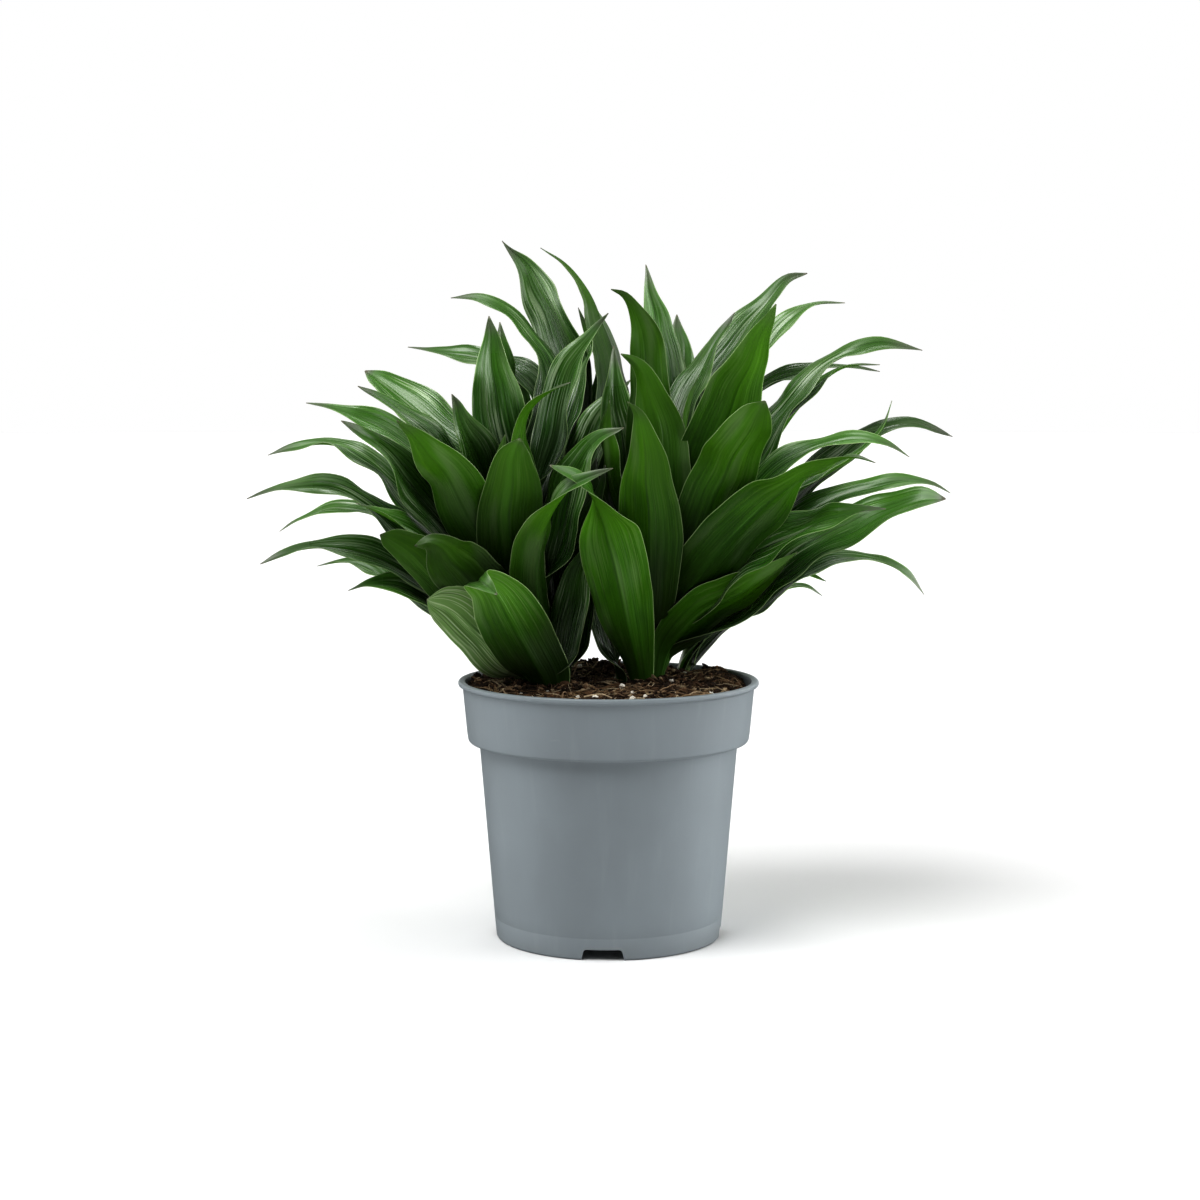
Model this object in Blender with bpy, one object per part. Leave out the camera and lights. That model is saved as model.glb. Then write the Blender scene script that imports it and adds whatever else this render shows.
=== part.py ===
"""A potted dracaena: three leafy stems in potting soil in a grey nursery pot.

The leaves are laid out on a front sketch.  One sketch unit is about 0.4 mm at the
pot's axis, u runs to the right and v runs down, and the third number is how far
behind the pot's axis the point lies, in millimetres (negative is nearer).  place()
turns such a point into millimetres in the plant's own frame, +Z up, front at -Y.
"""
import math

import bmesh
import bpy
import numpy as np
from mathutils.bvhtree import BVHTree

MM = 0.001

# ---------------------------------------------------------------- pot, mm
RIM_R = 60.0            # over the rolled lip
LIP_H = 2.9
COLLAR_R_TOP, COLLAR_R_LOW = 58.3, 56.2
COLLAR_Z = 79.0         # underside of the collar
POT_H = 103.5
BODY_R_TOP, BODY_R_LOW = 51.7, 45.3
WALL = 1.25
FLOOR_Z0, FLOOR_Z1 = 4.9, 6.2
FOOT_WALL = 2.4
NOTCH_W, NOTCH_H = 14.0, 4.3
NOTCH_TURN = -3.0       # degrees, first notch from the front
DRAIN_R, DRAIN_RING_R, DRAINS = 3.6, 31.0, 8
POT_SEG = 72

# ---------------------------------------------------------------- soil, mm
Z_SOIL = 100.0          # level that the leaf heights are counted from
SOIL_GAP = 0.3
SOCKET_GAP = 0.35
STEM_FOOT_Z = 80.0

# ---------------------------------------------------------------- leaves, mm
LEAF_T = 0.9            # thickness at the midrib
LEAF_SLIM = 0.78        # blade width against the full width in the table
LEAF_N = 15             # stations along a blade
CLEAR = 0.42            # added all round while the blades are parted

# viewing geometry of the front sketch
EYE_X, EYE_D, EYE_Z = -3.4, 900.0, 222.1
PITCH, FOC = 0.0962, 2267.0
CP, SP = math.cos(PITCH), math.sin(PITCH)

STEMS = {
    "A": dict(node="stem_left", p=[(-26.5, 9.0, 96.0), (-28.0, 8.5, 135.0), (-31.0, 8.5, 166.0)], r=(4.8, 2.0)),
    "B": dict(node="stem_right", p=[(15.0, 21.0, 96.0), (18.5, 18.0, 135.0), (22.0, 16.0, 166.0)], r=(4.8, 2.0)),
    "C": dict(node="stem_rear", p=[(31.0, 37.0, 96.0), (34.0, 38.0, 115.0), (38.0, 40.0, 135.0)], r=(3.6, 2.0)),
}


def L(name, stem, h, az, W, pts, **opt):
    """One leaf: stem, height of its foot above the soil, compass of its foot
    (0 front, 90 right), width, and the points its midrib passes."""
    return (name, stem, h, az, W, pts, opt)


LEAVES = [
    # left crown, from the soil up
    L("a01", "A", 3, 2, 25, [(528,650),(513,618),(498,590),(486,578),(475,585),(466,595)], reach=-52, turn=[(0.3,176),(0.7,168),(0.86,150),(1,120)]),
    L("a02", "A", 5, -50, 24, [(500,655),(474,626),(452,608),(436,600),(422,598)], reach=-48, turn=150),
    L("a03", "A", 7, -75, 22, [(487,652),(455,618),(428,595),(400,583),(372,586),(348,591)], reach=-38, turn=62),
    L("a04", "A", 8, -95, 20, [(485,640),(440,597),(398,566),(360,554),(315,548),(280,555),(260,564)], reach=-12, turn=60),
    L("a05", "A", 3, -115, 18, [(478,660),(440,628),(405,595),(375,572),(345,563),(317,566)], reach=62, turn=66),
    L("a06", "A", 15, -58, 24, [(475,615),(438,580),(410,553),(393,539),(380,534)], reach=-44, kind="blunt", turn=140),
    L("a07", "A", 10, -30, 26, [(495,615),(470,585),(453,563),(440,549),(428,543),(414,546)], reach=-72, turn=165),
    L("a08", "A", 18, -108, 14, [(478,600),(430,555),(395,528),(365,512),(335,508),(304,518),(280,532)], reach=60, turn=62),
    L("a09", "A", 24, -82, 22, [(475,580),(430,550),(388,522),(350,495),(318,486),(285,488),(247,500)], reach=-24, kind="long", turn=60),
    L("a11", "A", 29, -100, 22, [(478,560),(430,518),(392,485),(362,458),(330,444),(298,446),(268,456)], reach=38, kind="long", turn=[(0.4,45),(0.7,64),(1,66)]),
    L("a12", "A", 34, -72, 26, [(475,545),(432,498),(395,460),(362,435),(341,421)], reach=-36, turn=52),
    L("a13", "A", 39, -92, 22, [(478,520),(440,478),(402,440),(365,418),(335,410),(306,404)], reach=10, turn=58),
    L("a14", "A", 44, -68, 22, [(480,508),(445,462),(412,425),(385,402),(358,386)], reach=-32, turn=60),
    L("a15", "A", 49, -108, 26, [(485,490),(450,445),(415,408),(388,386),(365,371)], reach=48, kind="blunt", turn=52),
    L("a16", "A", 24, -46, 26, [(490,570),(470,530),(448,482),(425,447),(397,421)], reach=-60, turn=155),
    L("a17", "A", 20, -12, 27, [(518,595,-11),(512,550,-23),(511,500,-33),(514,462,-39),(520,438,-42)], kind="blunt", turn=178),
    L("a19", "A", 36, -5, 20, [(525,550,-6),(528,500,-14),(526,455,-19),(530,418,-21),(547,396,-23),(570,382,-25)], turn=[(0.5,140),(0.75,120),(1,60)]),
    L("a20", "A", 52, -45, 24, [(497,500),(478,462),(462,425),(451,394)], reach=-30, turn=40),
    L("a21", "A", 60, -140, 24, [(512,478,13),(500,430,15),(494,380,17),(490,315,18)], turn=8),
    L("a23", "A", 56, -165, 22, [(535,440),(540,400),(522,375),(485,362),(445,352),(408,347)], reach=66, turn=62),
    L("a24", "A", 64, 175, 22, [(545,440),(556,398),(545,365),(527,335),(500,308),(475,299),(450,300)], reach=48, turn=[(0.4,60),(0.6,85),(0.75,60),(1,60)]),
    L("a25", "A", 59, 150, 24, [(556,440),(567,385),(562,340),(549,302),(531,268),(502,241)], reach=64, turn=42),
    L("a26", "A", 52, 120, 20, [(569,455),(594,405),(608,362),(604,325),(585,288),(565,262),(541,247)], reach=56, turn=[(0.35,150),(0.6,125),(0.8,105),(1,85)]),
    L("a28", "A", 62, 75, 24, [(551,480,5),(558,440,1),(566,400,-1),(583,352,-2),(608,313,-3)], fold=(30,34,38), turn=50),
    L("a31", "A", 11, 28, 20, [(543,625,-8),(536,585,-17),(539,545,-23),(556,505,-27),(575,485,-29),(595,473,-30),(615,469,-31)], fold=(30,36,30), turn=[(0.3,150),(0.6,140),(0.8,100),(1,60)]),
    L("a32", "A", 30, 45, 20, [(550,550,-4),(558,515,-9),(567,486,-12),(582,458,-15),(602,440,-17),(624,429,-19)], turn=58),
    L("a33", "A", 44, 85, 22, [(560,510),(575,470),(592,430),(612,402),(631,380)], reach=12, turn=40),
    L("a34", "A", 8, 80, 22, [(557,640,3),(569,600,0),(578,560,-2),(584,520,-3),(590,490,-5)], fold=(22,16,20), turn=66),
    L("a35", "A", 3, 115, 22, [(565,650),(582,610),(592,565),(595,520)], reach=44, turn=60),
    # right crown
    L("b01", "B", 4, -15, 26, [(628,645,5),(619,610,-8),(612,565,-18),(602,520,-27),(590,492,-32),(572,475,-36),(548,465,-40)], turn=[(0.3,175),(0.6,168),(0.8,140),(1,75)]),
    L("b02", "B", 14, 2, 26, [(650,615,1),(650,560,-12),(648,500,-22),(644,450,-27),(639,415,-29),(627,402,-30)], turn=[(0.3,172),(0.9,170),(1,120)]),
    L("b03", "B", 36, 5, 24, [(656,550,1),(660,490,-6),(658,430,-9),(646,382,-10),(634,362,-11),(621,354,-12)], turn=165),
    L("b04", "B", 52, -20, 22, [(656,470,3),(650,420,1),(645,360,0),(638,315,-1),(625,295,-2),(611,289,-3)], turn=145),
    L("b05", "B", 62, -170, 22, [(662,455),(662,400),(658,340),(650,295),(645,265)], reach=50, turn=40),
    L("b06", "B", 57, 160, 24, [(672,455),(678,400),(680,350),(677,315)], reach=62, turn=15),
    L("b07", "B", 50, 128, 24, [(680,465),(703,400),(735,345),(765,305),(788,280),(807,274)], reach=70, turn=40),
    L("b09", "B", 40, 54, 27, [(676,545),(700,480),(728,415),(755,350),(776,304)], reach=-34, turn=160),
    L("b10", "B", 29, 44, 26, [(672,590),(695,540),(722,480),(748,430),(765,401)], reach=-50, kind="blunt", turn=165),
    L("b11", "B", 17, 40, 26, [(672,625),(705,585),(745,530),(785,490),(820,468),(850,458),(875,464)], reach=-64, kind="long", turn=[(0.3,165),(0.6,160),(0.75,120),(1,80)]),
    L("b12", "B", 24, 80, 22, [(690,560),(740,502),(785,465),(825,445),(860,438),(885,445),(909,458)], reach=-14, kind="long", turn=64),
    L("b13", "B", 21, 102, 26, [(690,580),(750,535),(805,485),(850,450),(885,430),(920,426),(953,436)], reach=48, kind="long", turn=58),
    L("b15", "B", 13, 86, 22, [(700,602),(760,550),(815,512),(860,491),(905,482),(930,484),(950,494)], reach=10, kind="long", turn=60),
    L("b16", "B", 6, 84, 27, [(690,642),(745,597),(810,553),(870,522),(915,503),(946,500)], reach=-32, turn=56),
    L("b17", "B", 9, 62, 25, [(690,630),(740,577),(790,538),(840,516),(886,510)], reach=-54, turn=58),
    L("b20", "B", 42, 112, 20, [(684,480),(722,410),(762,355),(790,320),(817,305),(845,302)], reach=52, turn=62),
    L("b21", "B", 31, 104, 26, [(690,515),(745,455),(792,405),(830,365),(860,349),(890,345),(922,351)], reach=34, kind="long", turn=[(0.4,150),(0.55,120),(0.7,70),(1,62)]),
    L("b25", "B", 3, 32, 24, [(666,652),(688,630),(712,607),(738,592),(756,580)], reach=-58, turn=150),
    L("b27", "B", 8, -65, 20, [(612,650,12),(602,625,8),(597,595,6),(596,560,5),(600,520,4)], fold=(22,16,20), turn=66),
    # third stem, at the rear right
    L("c01", "C", 8, 100, 18, [(720,628),(755,597),(799,566),(838,554),(875,560),(903,572),(924,595)], reach=76, kind="long", turn=66),
    L("c03", "C", 14, 50, 18, [(728,615),(757,592),(790,568)], reach=42, turn=60),
    # leaves at the back
    L("a41", "A", 10, 178, 24, [(-28,38,128),(-29,60,146),(-31,82,156),(-33,100,155)], raw=True),
    L("a42", "A", 28, -145, 24, [(-48,38,152),(-60,58,172),(-72,78,184),(-82,94,184)], raw=True),
    L("b41", "B", 10, 150, 24, [(24,48,128),(30,68,146),(36,88,155),(41,104,153)], raw=True),
    L("b42", "B", 28, -170, 24, [(14,46,154),(8,66,176),(2,84,188),(-3,98,190)], raw=True),
    L("c04", "C", 18, 150, 20, [(44,56,136),(54,72,152),(65,86,160),(76,98,158)], raw=True),
]


def place(u, v, y):
    a, b = (u - 600.0) / FOC, (600.0 - v) / FOC
    d = np.array([a, CP + b * SP, -SP + b * CP])
    return np.array([EYE_X, -EYE_D, EYE_Z]) + (y + EYE_D) / d[1] * d


def sketch_of(p):
    x, y, z = p[0] - EYE_X, p[1] + EYE_D, p[2] - EYE_Z
    f = y * CP - z * SP
    return 600.0 + FOC * x / f, 600.0 - FOC * (y * SP + z * CP) / f


def smooth(t):
    t = np.clip(t, 0.0, 1.0)
    return t * t * (3.0 - 2.0 * t)


def stem_at(name, z):
    s = STEMS[name]
    p = np.array(s["p"], float)
    x = np.interp(z, p[:, 2], p[:, 0])
    y = np.interp(z, p[:, 2], p[:, 1])
    r = np.interp(z, [p[0, 2], p[-1, 2]], s["r"])
    return x, y, r


def spline(pts, n):
    """Centripetal Catmull-Rom curve through pts, read at n evenly spaced stations."""
    P = np.asarray(pts, float)
    Q = np.vstack([2 * P[0] - P[1], P, 2 * P[-1] - P[-2]])
    out = []
    for i in range(1, len(Q) - 2):
        p0, p1, p2, p3 = Q[i - 1:i + 3]
        t0 = 0.0
        t1 = t0 + max(np.linalg.norm(p1 - p0), 1e-6) ** 0.5
        t2 = t1 + max(np.linalg.norm(p2 - p1), 1e-6) ** 0.5
        t3 = t2 + max(np.linalg.norm(p3 - p2), 1e-6) ** 0.5
        for t in np.linspace(t1, t2, 24, endpoint=False):
            a1 = (t1 - t) / (t1 - t0) * p0 + (t - t0) / (t1 - t0) * p1
            a2 = (t2 - t) / (t2 - t1) * p1 + (t - t1) / (t2 - t1) * p2
            a3 = (t3 - t) / (t3 - t2) * p2 + (t - t2) / (t3 - t2) * p3
            b1 = (t2 - t) / (t2 - t0) * a1 + (t - t0) / (t2 - t0) * a2
            b2 = (t3 - t) / (t3 - t1) * a2 + (t - t1) / (t3 - t1) * a3
            out.append((t2 - t) / (t2 - t1) * b1 + (t - t1) / (t2 - t1) * b2)
    out.append(P[-1])
    out = np.array(out)
    for _ in range(10):
        out[1:-1] = 0.25 * out[:-2] + 0.5 * out[1:-1] + 0.25 * out[2:]
    run = np.concatenate([[0.0], np.cumsum(np.linalg.norm(np.diff(out, axis=0), axis=1))])
    s = np.linspace(0.0, run[-1], n)
    return np.stack([np.interp(s, run, out[:, k]) for k in range(3)], 1), run[-1]


PROF_S = np.array([0.0, 0.06, 0.15, 0.28, 0.42, 0.55, 0.68, 0.80, 0.89, 0.95, 1.0])
PROF_W = {
    "": np.array([0.42, 0.50, 0.66, 0.86, 0.98, 1.0, 0.90, 0.66, 0.38, 0.18, 0.015]),
    "blunt": np.array([0.42, 0.50, 0.66, 0.86, 0.98, 1.0, 0.97, 0.86, 0.66, 0.42, 0.03]),
    "long": np.array([0.45, 0.54, 0.70, 0.90, 1.0, 0.92, 0.70, 0.44, 0.24, 0.13, 0.015]),
}


def width_at(s, kind):
    """Half-width profile along a blade, 1 at its widest."""
    w = PROF_W[kind]
    i = np.clip(np.searchsorted(PROF_S, s) - 1, 0, len(PROF_S) - 2)
    m = np.gradient(w, PROF_S)
    h = PROF_S[i + 1] - PROF_S[i]
    t = (s - PROF_S[i]) / h
    h00 = 2 * t ** 3 - 3 * t ** 2 + 1
    h10 = t ** 3 - 2 * t ** 2 + t
    h01 = -2 * t ** 3 + 3 * t ** 2
    h11 = t ** 3 - t ** 2
    return np.maximum(h00 * w[i] + h10 * h * m[i] + h01 * w[i + 1] + h11 * h * m[i + 1], 0.01)


def leaf_frame(leaf, n, inset=0.9):
    """Midrib points C, tangents T, upper-side normals N, width vectors S,
    half-widths and fold angles at n stations."""
    name, stem, h, az, W, pts, opt = leaf
    x, y, r = stem_at(stem, Z_SOIL + h)
    a = math.radians(az)
    rad = np.array([math.sin(a), -math.cos(a), 0.0])
    up = np.array([0.0, 0.0, 1.0])
    b0 = np.array([x, y, Z_SOIL + h]) + rad * (r + inset)
    b1 = b0 + rad * 3.2 + up * 8.5
    if opt.get("raw"):
        P = [b0, b1] + [np.array(q, float) for q in pts]
    else:
        reach = opt.get("reach")
        if reach is not None:
            # depth runs evenly from the foot to the tip's depth
            q = np.array([sketch_of(b1)] + [p[:2] for p in pts])
            run = np.concatenate([[0.0], np.cumsum(np.linalg.norm(np.diff(q, axis=0), axis=1))])
            deep = b1[1] + (reach - b1[1]) * (run / run[-1])[1:]
            pts = [(p[0], p[1], d) for p, d in zip(pts, deep)]
        P = [b0, b1] + [place(*q) for q in pts]
    C, length = spline(P, n)
    T = np.gradient(C, axis=0)
    T /= np.linalg.norm(T, axis=1)[:, None]
    N = np.zeros_like(C)
    v = -rad + T[0] * (rad @ T[0])
    N[0] = v / np.linalg.norm(v)
    for i in range(1, n):
        v1 = C[i] - C[i - 1]
        c1 = v1 @ v1
        nl = N[i - 1] - (2 / c1) * (v1 @ N[i - 1]) * v1
        tl = T[i - 1] - (2 / c1) * (v1 @ T[i - 1]) * v1
        v2 = T[i] - tl
        c2 = v2 @ v2
        N[i] = nl - (2 / c2) * (v2 @ nl) * v2 if c2 > 1e-12 else nl
        N[i] -= T[i] * (N[i] @ T[i])
        N[i] /= np.linalg.norm(N[i])
    s = np.linspace(0.0, 1.0, n)
    # turn of the blade about its midrib, as seen from the front: 0 shows the upper
    # side, 90 is edge-on with the upper side up, 180 shows the underside
    turn = opt.get("turn")
    if turn is not None:
        V = np.array([EYE_X, -EYE_D, EYE_Z]) - C
        V -= T * np.sum(V * T, axis=1)[:, None]
        V /= np.linalg.norm(V, axis=1)[:, None]
        U = np.cross(T, V)
        if np.sum(U @ (up * 1.5 - rad)) < 0:
            U = -U
        if isinstance(turn, (int, float)):
            turn = [(0.0, turn), (1.0, turn)]
        want = np.interp(s, [k[0] for k in turn], [k[1] for k in turn])
        nat = np.degrees(np.arctan2(np.sum(N * U, axis=1), np.sum(N * V, axis=1)))
        nat = want + (nat - want + 180.0) % 360.0 - 180.0
        k = smooth((s - 0.06) / 0.30)
        ang = np.radians(nat * (1 - k) + want * k)
        N = V * np.cos(ang)[:, None] + U * np.sin(ang)[:, None]
    S = np.cross(T, N)
    w = W * width_at(s, opt.get("kind", "")) * 0.5
    f0, f1, f2 = opt.get("fold", (30.0, 16.0, 20.0))
    phi = np.radians(np.where(s < 0.45, f0 + (f1 - f0) * smooth(s / 0.45),
                              f1 + (f2 - f1) * smooth((s - 0.45) / 0.55)))
    return s, C, T, N, S, w, phi


def blade(leaf, shift, slim, thick, extra=0.0):
    """Coarse solid of a leaf: a four-sided section at each station, thick at the
    midrib and thin at the margins."""
    s, C, T, N, S, w, phi = leaf_frame(leaf, 57)
    idx = np.round(np.linspace(0, 56, LEAF_N)).astype(int)
    V = []
    for k, i in enumerate(idx):
        ww = w[i] * slim + extra
        ht = 0.5 * thick * (0.35 + 0.65 * math.sin(math.pi * min(max(s[i], 0.06), 0.93)) ** 0.5) + extra
        rise, side = ww * math.sin(phi[i]), ww * math.cos(phi[i])
        c = C[i] + shift[k]
        V += [c - S[i] * side + N[i] * rise, c + N[i] * ht,
              c + S[i] * side + N[i] * rise, c - N[i] * ht]
    F = []
    for k in range(LEAF_N - 1):
        a, b = 4 * k, 4 * (k + 1)
        for e in range(4):
            # upper and lower side are split along the same diagonal, so that a
            # twisted strip keeps its thickness
            f = (e + 1) % 4
            if e < 2:
                F += [(a + e, b + f, b + e), (a + e, a + f, b + f)]
            else:
                F += [(a + e, a + f, b + e), (a + f, b + f, b + e)]
    z = 4 * (LEAF_N - 1)
    F += [(0, 3, 1), (3, 2, 1), (z, z + 1, z + 3), (z + 1, z + 2, z + 3)]
    return np.array(V), F


def tube(name, extra=0.0, seg=12, rings=14, foot=STEM_FOOT_Z):
    """Stem: a cane from inside the soil up to the growing tip."""
    p = np.array(STEMS[name]["p"], float)
    V, F = [], []
    for i in range(rings):
        z = foot + (p[-1, 2] - foot) * i / (rings - 1)
        x, y, r = stem_at(name, z)
        r += extra
        if i == rings - 1:
            r *= 0.55
        for k in range(seg):
            a = 2 * math.pi * k / seg
            V.append((x + r * math.cos(a), y + r * math.sin(a), z))
    V.append(tuple(np.mean(V[:seg], axis=0)))
    V.append(tuple(np.mean(V[-1 - seg:-1], axis=0)))
    for i in range(rings - 1):
        for k in range(seg):
            a, b = i * seg + k, i * seg + (k + 1) % seg
            F += [(a, b, b + seg), (a, b + seg, a + seg)]
    for k in range(seg):
        F.append((rings * seg, (k + 1) % seg, k))
        F.append((rings * seg + 1, (rings - 1) * seg + k, (rings - 1) * seg + (k + 1) % seg))
    return np.array(V), F


def settle(leaves, rounds=110):
    """Part the blades: where two swollen blades meet, both give way a little,
    across the blade and fading along it, until all are clear."""
    n = len(leaves)
    shift = [np.zeros((LEAF_N, 3)) for _ in range(n)]
    frames = []
    for lf in leaves:
        s, C, T, N, S, w, phi = leaf_frame(lf, 57)
        idx = np.round(np.linspace(0, 56, LEAF_N)).astype(int)
        frames.append((C[idx], T[idx], N[idx]))
    cores = {}
    for key in STEMS:
        V, F = tube(key, extra=0.1)
        cores[key] = (BVHTree.FromPolygons(V.tolist(), F), V.min(0), V.max(0))
    left = []
    for turn in range(rounds):
        trees, cents = [], []
        for i, lf in enumerate(leaves):
            V, F = blade(lf, shift[i], LEAF_SLIM, LEAF_T, CLEAR * 0.5)
            trees.append((BVHTree.FromPolygons(V.tolist(), F), V.min(0), V.max(0)))
            cents.append(V[np.array(F)].mean(1))
        move = [np.zeros((LEAF_N, 3)) for _ in range(n)]
        left = []
        for i in range(n):
            for j in range(i + 1, n):
                if (trees[i][1] > trees[j][2]).any() or (trees[j][1] > trees[i][2]).any():
                    continue
                hit = trees[i][0].overlap(trees[j][0])
                if not hit:
                    continue
                left.append((leaves[i][0], leaves[j][0]))
                hi = np.array([q[0] for q in hit])
                hj = np.array([q[1] for q in hit])
                c = 0.5 * (cents[i][hi].mean(0) + cents[j][hj].mean(0))
                Ci, Ti, Ni = frames[i]
                Cj, Tj, Nj = frames[j]
                Pi, Pj = Ci + shift[i], Cj + shift[j]
                a = int(np.argmin(np.linalg.norm(Pi - c, axis=1)))
                b = int(np.argmin(np.linalg.norm(Pj - c, axis=1)))
                ta, tb = Ti[a], Tj[b]
                nn = Ni[a] + (Nj[b] if Ni[a] @ Nj[b] >= 0 else -Nj[b])
                d = Pi[a] - Pj[b]
                # across: the blades' common normal, and across both midribs where they cross
                x = np.cross(ta, tb)
                if np.linalg.norm(x) > 0.55:
                    nn = x
                nn = nn - 0.5 * (ta + tb) * (nn @ (0.5 * (ta + tb)))
                nn /= max(np.linalg.norm(nn), 1e-9)
                sgn = 1.0 if d @ nn >= 0 else -1.0
                if abs(d @ nn) < 0.25 and leaves[i][1] == leaves[j][1]:
                    up = 1.0 if leaves[i][2] > leaves[j][2] else -1.0
                    sgn = up if nn @ Nj[b] >= 0 else -up
                for q, P, m, sg in ((i, Pi, a, sgn), (j, Pj, b, -sgn)):
                    fall = np.exp(-(np.linalg.norm(P - P[m], axis=1) / 20.0) ** 2)
                    move[q] += (0.30 * sg * fall)[:, None] * nn
        for i in range(n):
            for key, (tree, lo, hi_) in cores.items():
                if (trees[i][1] > hi_).any() or (lo > trees[i][2]).any():
                    continue
                hit = trees[i][0].overlap(tree)
                if not hit:
                    continue
                left.append((leaves[i][0], "core" + key))
                c = cents[i][[q[0] for q in hit]].mean(0)
                C, T, N = frames[i]
                P = C + shift[i]
                m = int(np.argmin(np.linalg.norm(P - c, axis=1)))
                x, y, r = stem_at(key, P[m][2])
                d = np.array([P[m][0] - x, P[m][1] - y, 0.0])
                d /= max(np.linalg.norm(d), 1e-6)
                fall = np.exp(-(np.linalg.norm(P - P[m], axis=1) / 20.0) ** 2)
                move[i] += (0.30 * fall)[:, None] * d
            low = trees[i][1][2] - (Z_SOIL + 0.5)
            if low < 0:
                fall = np.exp(-(np.arange(LEAF_N) / 3.0) ** 2)
                move[i] += (min(-low, 0.5) * fall)[:, None] * np.array([0, 0, 1.0])
        if not left:
            break
        for i in range(n):
            g = np.linalg.norm(move[i], axis=1, keepdims=True)
            shift[i] += move[i] * np.minimum(1.0, 0.7 / np.maximum(g, 1e-9))
    return shift, left


# ------------------------------------------------------------------ scene objects
def clear_scene():
    for ob in list(bpy.data.objects):
        bpy.data.objects.remove(ob, do_unlink=True)


def material(name, rgb, rough, metal=0.0):
    m = bpy.data.materials.new(name)
    m.use_nodes = True
    b = m.node_tree.nodes["Principled BSDF"]
    b.inputs["Base Color"].default_value = (*rgb, 1.0)
    b.inputs["Roughness"].default_value = rough
    b.inputs["Metallic"].default_value = metal
    m.diffuse_color = (*rgb, 1.0)
    return m


def add(name, V, F, mat, parent, smooth_angle=None):
    me = bpy.data.meshes.new(name)
    me.from_pydata([tuple(float(c) * MM for c in v) for v in V], [], [tuple(f) for f in F])
    bm = bmesh.new()
    bm.from_mesh(me)
    bmesh.ops.recalc_face_normals(bm, faces=bm.faces)
    bm.to_mesh(me)
    bm.free()
    if smooth_angle:
        me.shade_smooth()
        me.set_sharp_from_angle(angle=math.radians(smooth_angle))
    me.materials.append(mat)
    ob = bpy.data.objects.new(name, me)
    ob.parent = parent
    bpy.context.scene.collection.objects.link(ob)
    return ob


def turned(profile, seg):
    """Solid of revolution: a closed profile of (radius, height) points whose first
    and last points are on the axis."""
    V, F, rows = [], [], []
    for r, z in profile:
        if r < 1e-6:
            rows.append([len(V)] * seg)
            V.append((0.0, 0.0, z))
        else:
            rows.append(list(range(len(V), len(V) + seg)))
            for k in range(seg):
                a = 2 * math.pi * k / seg
                V.append((r * math.sin(a), -r * math.cos(a), z))
    for a, b in zip(rows, rows[1:]):
        for k in range(seg):
            q = [a[k], a[(k + 1) % seg], b[(k + 1) % seg], b[k]]
            q = [v for i, v in enumerate(q) if v not in q[:i]]
            if len(q) > 2:
                F.append(q)
    return V, F


def pot_profile():
    body_r = lambda z: BODY_R_LOW + (BODY_R_TOP - BODY_R_LOW) * (z - 2.0) / (COLLAR_Z - 2.0)
    collar_r = lambda z: COLLAR_R_LOW + (COLLAR_R_TOP - COLLAR_R_LOW) * (z - COLLAR_Z) / (POT_H - LIP_H - COLLAR_Z)
    zl = POT_H - LIP_H
    out = [(0.0, FLOOR_Z0), (BODY_R_LOW - FOOT_WALL - 1.2, FLOOR_Z0),
           (BODY_R_LOW - FOOT_WALL - 0.7, FLOOR_Z0 - 0.5), (BODY_R_LOW - FOOT_WALL - 0.9, 0.0)]
    out += [(BODY_R_LOW - 1.1, 0.0), (BODY_R_LOW - 0.45, 0.35), (BODY_R_LOW - 0.1, 1.0), (body_r(2.2), 2.2)]
    out += [(body_r(30.0), 30.0), (body_r(55.0), 55.0), (body_r(COLLAR_Z - 0.9), COLLAR_Z - 0.9),
            (body_r(COLLAR_Z) + 0.5, COLLAR_Z - 0.2), (body_r(COLLAR_Z) + 1.1, COLLAR_Z)]
    out += [(COLLAR_R_LOW - 1.3, COLLAR_Z), (COLLAR_R_LOW - 0.4, COLLAR_Z + 0.4), (COLLAR_R_LOW, COLLAR_Z + 1.3)]
    out += [(collar_r(zl - 0.6), zl - 0.6), (collar_r(zl) + 0.4, zl - 0.1), (RIM_R - 0.5, zl + 0.1),
            (RIM_R - 0.05, zl + 0.7), (RIM_R, zl + 1.6), (RIM_R - 0.25, POT_H - 0.45), (RIM_R - 0.8, POT_H)]
    out += [(COLLAR_R_TOP - WALL + 0.5, POT_H), (COLLAR_R_TOP - WALL, POT_H - 0.5),
            (collar_r(zl) - WALL, zl), (COLLAR_R_LOW - WALL, COLLAR_Z + 2.2),
            (COLLAR_R_LOW - WALL - 0.9, COLLAR_Z + 1.1), (body_r(COLLAR_Z) - WALL + 0.9, COLLAR_Z + 0.9),
            (body_r(COLLAR_Z) - WALL, COLLAR_Z - 0.2)]
    out += [(body_r(55.0) - WALL, 55.0), (body_r(30.0) - WALL, 30.0), (body_r(8.0) - WALL - 0.1, FLOOR_Z1 + 1.4),
            (body_r(8.0) - WALL - 1.4, FLOOR_Z1), (0.0, FLOOR_Z1)]
    return out


def inner_r(z):
    """Radius of the pot's inside at a height."""
    p = pot_profile()[24:]
    p = sorted((q[1], q[0]) for q in p[:-1])
    return float(np.interp(z, [q[0] for q in p], [q[1] for q in p]))


def cutter(name, V, F, parent):
    me = bpy.data.meshes.new(name)
    me.from_pydata([tuple(float(c) * MM for c in v) for v in V], [], [tuple(f) for f in F])
    bm = bmesh.new()
    bm.from_mesh(me)
    bmesh.ops.recalc_face_normals(bm, faces=bm.faces)
    bm.to_mesh(me)
    bm.free()
    ob = bpy.data.objects.new(name, me)
    ob.hide_render = True
    ob.display_type = "WIRE"
    ob.parent = parent
    bpy.context.scene.collection.objects.link(ob)
    return ob


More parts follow.
